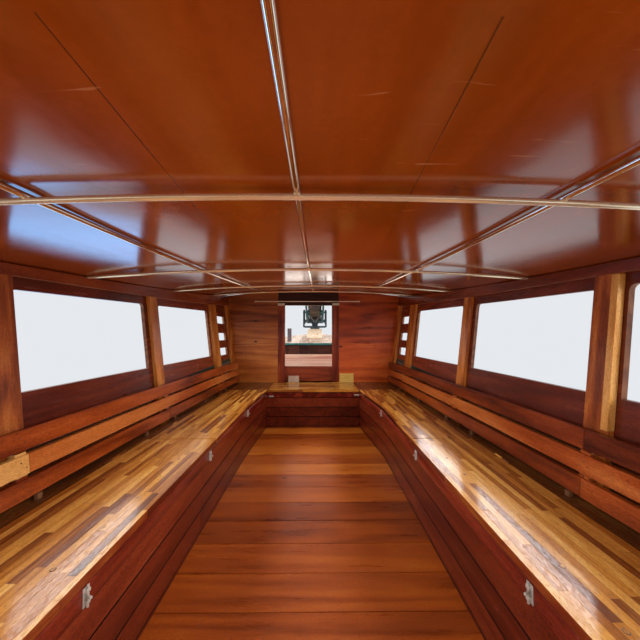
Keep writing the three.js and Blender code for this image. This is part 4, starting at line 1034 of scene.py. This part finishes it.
outline = []
for i in range(97):
    x = -6.5 + 12.9 * i / 96
    points = [planking_point(x, k / 60) for k in range(61)]
    wet = [a[0] - (b[0] - a[0]) * a[1] / (b[1] - a[1]) for a, b in zip(points, points[1:])
           if a[1] <= 0 < b[1]]
    if wet:
        outline.append((x, wet[-1]))
ring = [(x, y + 0.001) for x, y in outline] + [(x, -y - 0.001) for x, y in reversed(outline)]
bpy.ops.mesh.primitive_circle_add(vertices=len(ring), radius=1, fill_type="NOTHING", location=(0, 0, 0))
floor = made("floor")
for vertex, (x, y) in zip(floor.data.vertices, ring):
    vertex.co = (x, y, 0)
edit(floor)
bpy.ops.mesh.extrude_region_move(TRANSFORM_OT_translate={"value": (0, 0, 0)})
bpy.ops.transform.resize(value=(30, 120, 1), center_override=(0, 0, 0))
leave()
pale = Finish("pale_floor", Roughness=0.7)
drift = pale.cloud(pale.here(), 0.6, 3.0)
floor.data.materials.append(pale.done(pale.mix(drift, "D9DBDC", "E4E5E4")))

world = bpy.data.worlds.new("soft_daylight")
bpy.context.scene.world = world
world.use_nodes = True
sky = world.node_tree.nodes["Background"]
sky.inputs["Color"].default_value = (0.93, 0.96, 1.0, 1)
sky.inputs["Strength"].default_value = 0.85

pieces = [piece for piece in bpy.context.collection.objects if piece.type == "MESH"]
OUTER = ("planking", "gunwale", "floor", "keel", "stem", "transom", "fore_deck", "bow_bitt")
UNMIRRORED = ("port_windows", "starboard_windows", "under_roof", "over_sole", "at_bow")
MIRRORED_ONLY = ("port_sky_band", "starboard_sky_band", "starboard_water")
for name, place, aim, width, depth, power, tint in (
        ("port_windows", (-0.2, 3.0, 2.35), (-0.2, 0.0, 1.6), 9.0, 2.0, 420, (1.0, 0.97, 0.92)),
        ("starboard_windows", (-0.2, -3.0, 2.35), (-0.2, 0.0, 1.6), 9.0, 2.0, 340, (0.9, 0.96, 1.0)),
        ("starboard_water", (-3.4, -3.0, 0.5), (-3.4, 0.0, 1.4), 3.2, 0.7, 20, (0.05, 0.42, 1.0)),
        ("port_sky_band", (-2.85, 3.0, 2.85), (-2.85, 0.6, 0.5), 11.6, 0.32, 95, (0.98, 0.99, 1.0)),
        ("starboard_sky_band", (-0.85, -3.0, 2.78), (-0.85, -0.6, 0.5), 7.7, 0.3, 46, (0.98, 0.99, 1.0)),
        ("stern_light", (-7.6, 0.0, 1.7), (0.0, 0.0, 1.1), 3.0, 2.4, 38, (1.0, 0.84, 0.7)),
        ("under_roof", (-0.3, 0.0, 1.29), (-0.3, 0.0, 0.0), 5.4, 0.8, 20, (1.0, 0.95, 0.9)),
        ("over_sole", (-0.3, 0.0, 0.52), (-0.3, 0.0, 2.0), 5.4, 0.9, 24, (1.0, 0.9, 0.8)),
        ("at_bow", (3.2, 0.0, 0.95), (-3.0, 0.0, 0.8), 1.4, 0.8, 22, (1.0, 0.97, 0.93)),
        ("high_soft", (-2.0, -9.0, 12.0), (0.0, 0.0, 0.5), 9.0, 9.0, 900, (1.0, 1.0, 1.0))):
    lamp = bpy.data.lights.new(name, "AREA")
    lamp.shape, lamp.size, lamp.size_y, lamp.energy, lamp.color = "RECTANGLE", width, depth, power, tint
    fixture = bpy.data.objects.new(name, lamp)
    bpy.context.collection.objects.link(fixture)
    fixture.location = place
    fixture.rotation_euler = (Vector(aim) - Vector(place)).to_track_quat("-Z", "Y").to_euler()
    fixture.visible_camera = False
    fixture.visible_glossy = name not in UNMIRRORED
    fixture.visible_diffuse = name not in MIRRORED_ONLY
    if name != "high_soft":  # the others light the cabin alone, and not the outside of the wall they stand by
        near, skipped = name.split("_")[0], OUTER
        if near in AISLE and name != "starboard_water":
            skipped += ("roof_lining", "side_panel_" + near, "cabin_rail_" + near)
        lit = bpy.data.collections.new("lit_by_" + name)
        for piece in pieces:
            if not piece.name.startswith(skipped):
                lit.objects.link(piece)
        fixture.light_linking.receiver_collection = lit

bpy.ops.object.camera_add(location=(0.876, 0.045, 1.11))
camera = bpy.context.object
swing, tilt = math.radians(0.54), math.radians(2.68)
ahead = Vector((-math.cos(swing), math.sin(swing), math.tan(tilt)))
camera.rotation_euler = ahead.to_track_quat("-Z", "Y").to_euler()
camera.data.sensor_width, camera.data.lens = 36, 18
camera.data.clip_start, camera.data.clip_end = 0.02, 500
bpy.context.scene.camera = camera
bpy.context.scene.view_settings.view_transform = "Standard"
